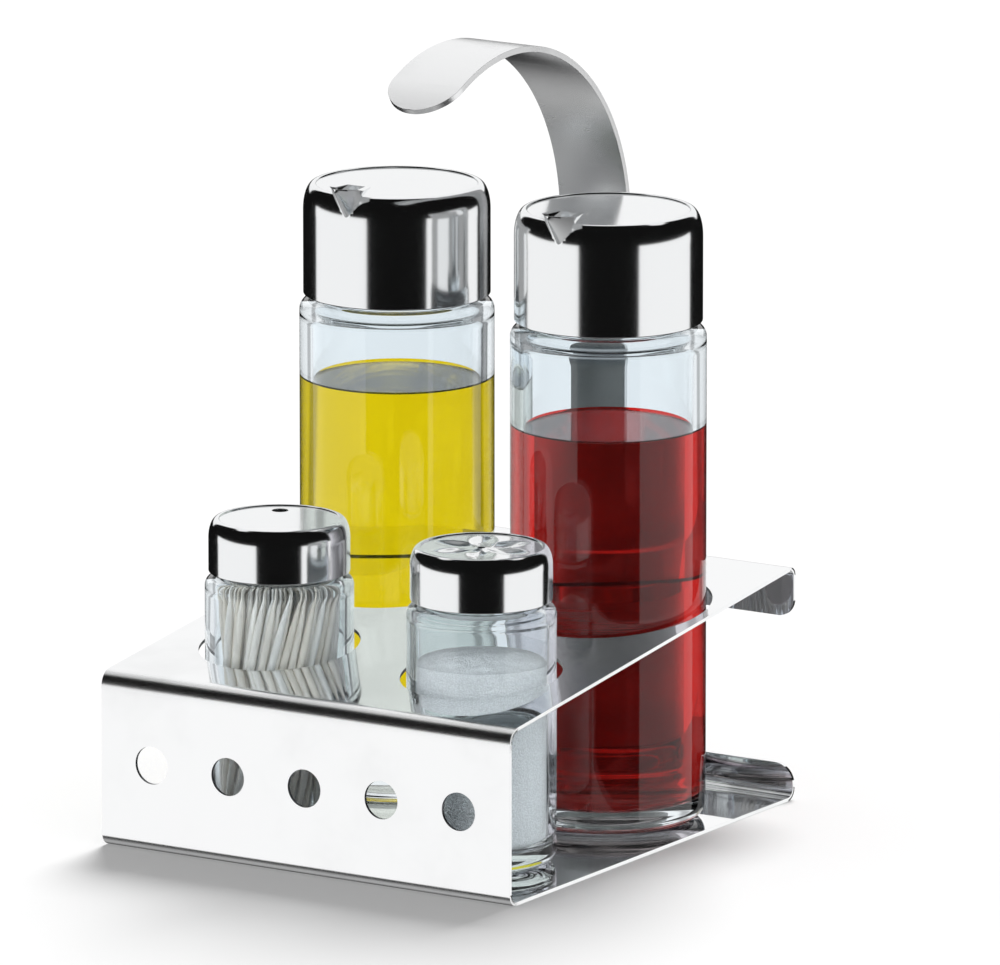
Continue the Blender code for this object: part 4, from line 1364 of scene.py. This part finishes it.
def build_studio(azimuth):
    """Soft boxes on both sides and behind, black flags in front and overhead."""
    world = bpy.data.worlds.new("studio")
    bpy.context.scene.world = world
    world.use_nodes = True
    world.cycles.sampling_method = "NONE"
    tree = world.node_tree
    tree.nodes.clear()
    around = tree.nodes.new("ShaderNodeTexCoord").outputs["Generated"]
    turn, axes = turn_from_camera(tree, around, azimuth)
    height = math_node(tree, "DEGREES", math_node(tree, "ARCSINE", axes.outputs["Z"]))

    flank = box_light(tree, turn, height, *FLANK_BOX)
    behind = box_light(tree, turn, height, *BEHIND_BOX)
    above = box_light(tree, turn, height, *ABOVE_BOX)
    table = map_range(tree, height, *TABLE_GLOW)
    glossy = math_node(tree, "ADD", flank, DARK_STUDIO)
    for other in (behind, above, table):
        glossy = math_node(tree, "MAXIMUM", glossy, other)

    through = backdrop(tree, turn)
    path = tree.nodes.new("ShaderNodeLightPath")
    mirrored = math_node(tree, "GREATER_THAN", path.outputs["Glossy Depth"], 1.5)
    glossy = math_node(tree, "MAXIMUM", glossy, math_node(tree, "MULTIPLY", mirrored, MIRRORED_LEAST))
    enclosed = math_node(tree, "GREATER_THAN", path.outputs["Transmission Depth"], 2.5)
    glossy = math_node(tree, "MAXIMUM", glossy, math_node(tree, "MULTIPLY", enclosed, ENCLOSED_LEAST))
    daylight = choose(tree, path.outputs["Is Transmission Ray"], DAYLIGHT, GLASSED_DAYLIGHT)
    seen = choose(tree, path.outputs["Is Glossy Ray"], DAYLIGHT, glossy)
    seen = choose(tree, path.outputs["Is Transmission Ray"], seen, through)
    bounced = math_node(tree, "MINIMUM", path.outputs["Diffuse Depth"], 1.0)
    seen = choose(tree, bounced, seen, daylight)
    seen = choose(tree, path.outputs["Is Camera Ray"], seen, 1.0)
    shade = tree.nodes.new("ShaderNodeBackground")
    shade.inputs["Color"].default_value = (1.0, 1.0, 1.0, 1.0)
    link(tree, seen, shade.inputs["Strength"])
    out = tree.nodes.new("ShaderNodeOutputWorld")
    link(tree, shade.outputs["Background"], out.inputs["Surface"])


def build_stage():
    stage = bpy.context.scene.cruet_stage
    build_studio(stage.azimuth)
    bm = bmesh.new()
    bmesh.ops.create_grid(bm, x_segments=1, y_segments=1, size=9.0)
    floor = place_object("floor", mesh_from(bm, "floor"))
    material, tree, shader, coordinates = new_material("pale_paper")
    shader.inputs["Roughness"].default_value = 0.9
    shader.inputs["Specular IOR Level"].default_value = 0.0
    grain = noise_node(tree, coordinates, 3.0, 2.0)
    paper = mix_colour(tree, grain, (0.90, 0.90, 0.90), (0.92, 0.92, 0.92))
    # Painted shade: when the floor is seen through glass or liquid, its colour is darkened by direction to
    # copy the backdrop's dark flanks and soft flags.
    path = tree.nodes.new("ShaderNodeLightPath")
    refracted = math_node(tree, "MINIMUM", path.outputs["Transmission Depth"], 1.0)
    unlit = math_node(tree, "LESS_THAN", path.outputs["Diffuse Depth"], 0.5)
    turn, _ = turn_from_camera(tree, coordinates, stage.azimuth)
    painted_backdrop_shade = choose(tree, math_node(tree, "MULTIPLY", refracted, unlit), 1.0, backdrop(tree, turn))
    link(tree, mix_colour(tree, painted_backdrop_shade, (0.0, 0.0, 0.0), paper), shader.inputs["Base Color"])
    floor.data.materials.append(material)
    floor.visible_glossy = False

    lamp = bpy.data.objects.new("overhead_lamp", bpy.data.lights.new("overhead_lamp", "SUN"))
    lamp.data.energy = LAMP_STRENGTH
    lamp.data.angle = LAMP_WIDTH
    lamp.visible_glossy = False
    lamp.visible_transmission = False
    toward = Vector(LAMP_DIRECTION).normalized()
    lamp.rotation_euler = toward.to_track_quat("-Z", "Y").to_euler()
    bpy.context.scene.collection.objects.link(lamp)

    sin_a, cos_a = math.sin(stage.azimuth), math.cos(stage.azimuth)
    sin_e, cos_e = math.sin(stage.elevation), math.cos(stage.elevation)
    right = Vector((cos_a, sin_a, 0.0))
    up = Vector((-sin_a * sin_e, cos_a * sin_e, cos_e))
    back = Vector((sin_a * cos_e, -cos_a * cos_e, sin_e))
    aim = Vector(AIM) + right * AIM_RIGHT * MM - up * AIM_DOWN * MM
    camera = bpy.data.objects.new("camera", bpy.data.cameras.new("camera"))
    camera.data.lens = stage.lens
    camera.data.clip_end = 100.0
    facing = Matrix((right, up, back)).transposed().to_4x4()
    camera.matrix_world = Matrix.Translation(aim + back * stage.distance) @ facing
    bpy.context.scene.collection.objects.link(camera)
    bpy.context.scene.camera = camera
    bpy.context.scene.view_settings.view_transform = "Standard"
    cycles = bpy.context.scene.cycles
    cycles.max_bounces = 28
    cycles.transmission_bounces = 24
    cycles.glossy_bounces = 8


# Operators -------------------------------------------------------------------------------------------------


class CRUET_OT_folded_sheet(Operator):
    """Make the folded steel stand with its holes"""

    bl_idname = "cruet.folded_sheet"
    bl_label = "Folded Sheet"

    def execute(self, context):
        build_folded_sheet()
        return {"FINISHED"}


class CRUET_OT_carrying_handle(Operator):
    """Make the hooked carrying handle"""

    bl_idname = "cruet.carrying_handle"
    bl_label = "Carrying Handle"

    def execute(self, context):
        build_carrying_handle()
        return {"FINISHED"}


class CRUET_OT_rivets(Operator):
    """Set the rivets that hold the handle to the stand"""

    bl_idname = "cruet.rivets"
    bl_label = "Rivets"

    def execute(self, context):
        build_rivets()
        return {"FINISHED"}


class CRUET_OT_bottles(Operator):
    """Blow the two glass bottles"""

    bl_idname = "cruet.bottles"
    bl_label = "Glass Bottles"

    def execute(self, context):
        build_glass(("oil", "vinegar"))
        return {"FINISHED"}


class CRUET_OT_jars(Operator):
    """Blow the two glass jars"""

    bl_idname = "cruet.jars"
    bl_label = "Glass Jars"

    def execute(self, context):
        build_glass(("toothpick", "salt"))
        return {"FINISHED"}


class CRUET_OT_liquids(Operator):
    """Fill the bottles with oil and vinegar"""

    bl_idname = "cruet.liquids"
    bl_label = "Oil and Vinegar"

    def execute(self, context):
        build_liquids()
        return {"FINISHED"}


class CRUET_OT_salt(Operator):
    """Fill the salt jar"""

    bl_idname = "cruet.salt"
    bl_label = "Salt"

    def execute(self, context):
        build_salt()
        return {"FINISHED"}


class CRUET_OT_toothpicks(Operator):
    """Stand a bundle of toothpicks in its jar"""

    bl_idname = "cruet.toothpicks"
    bl_label = "Toothpicks"

    def execute(self, context):
        build_toothpicks()
        return {"FINISHED"}


class CRUET_OT_bottle_caps(Operator):
    """Press the bottles' metal caps with their pouring nibs"""

    bl_idname = "cruet.bottle_caps"
    bl_label = "Bottle Caps"

    def execute(self, context):
        build_bottle_caps()
        return {"FINISHED"}


class CRUET_OT_jar_caps(Operator):
    """Press the jars' metal caps with their holes"""

    bl_idname = "cruet.jar_caps"
    bl_label = "Jar Caps"

    def execute(self, context):
        build_jar_caps()
        return {"FINISHED"}


class CRUET_OT_cap_inserts(Operator):
    """Mould the threaded inserts and seal rings inside the caps"""

    bl_idname = "cruet.cap_inserts"
    bl_label = "Cap Inserts and Seals"

    def execute(self, context):
        build_cap_inserts()
        return {"FINISHED"}


class CRUET_OT_stage(Operator):
    """Set the floor, the studio light and the camera"""

    bl_idname = "cruet.stage"
    bl_label = "Stage"

    def execute(self, context):
        build_stage()
        return {"FINISHED"}


OPERATORS = (
    CRUET_OT_folded_sheet, CRUET_OT_carrying_handle, CRUET_OT_rivets, CRUET_OT_bottles, CRUET_OT_jars,
    CRUET_OT_liquids, CRUET_OT_salt, CRUET_OT_toothpicks, CRUET_OT_bottle_caps, CRUET_OT_jar_caps,
    CRUET_OT_cap_inserts, CRUET_OT_stage,
)


class CRUET_PT_pieces(Panel):
    """Lists the pieces of the cruet set and their settings"""

    bl_idname = "CRUET_PT_pieces"
    bl_label = "Cruet Set"
    bl_space_type = "VIEW_3D"
    bl_region_type = "UI"
    bl_category = "Cruet Set"

    def draw(self, context):
        for operator in OPERATORS:
            self.layout.operator(operator.bl_idname)
        for name, group in SETTINGS.items():
            settings = getattr(context.scene, name)
            box = self.layout.box()
            box.label(text=group.__doc__)
            for setting in group.__annotations__:
                box.prop(settings, setting)


CLASSES = (*SETTINGS.values(), *OPERATORS, CRUET_PT_pieces)


def register():
    for cls in CLASSES:
        bpy.utils.register_class(cls)
    for name, group in SETTINGS.items():
        setattr(bpy.types.Scene, name, PointerProperty(type=group))


def unregister():
    for name in SETTINGS:
        delattr(bpy.types.Scene, name)
    for cls in reversed(CLASSES):
        bpy.utils.unregister_class(cls)


def main():
    register()
    bpy.ops.cruet.folded_sheet()
    bpy.ops.cruet.carrying_handle()
    bpy.ops.cruet.rivets()
    bpy.ops.cruet.bottles()
    bpy.ops.cruet.jars()
    bpy.ops.cruet.liquids()
    bpy.ops.cruet.salt()
    bpy.ops.cruet.toothpicks()
    bpy.ops.cruet.bottle_caps()
    bpy.ops.cruet.jar_caps()
    bpy.ops.cruet.cap_inserts()
    bpy.ops.cruet.stage()


if __name__ == "__main__":
    main()
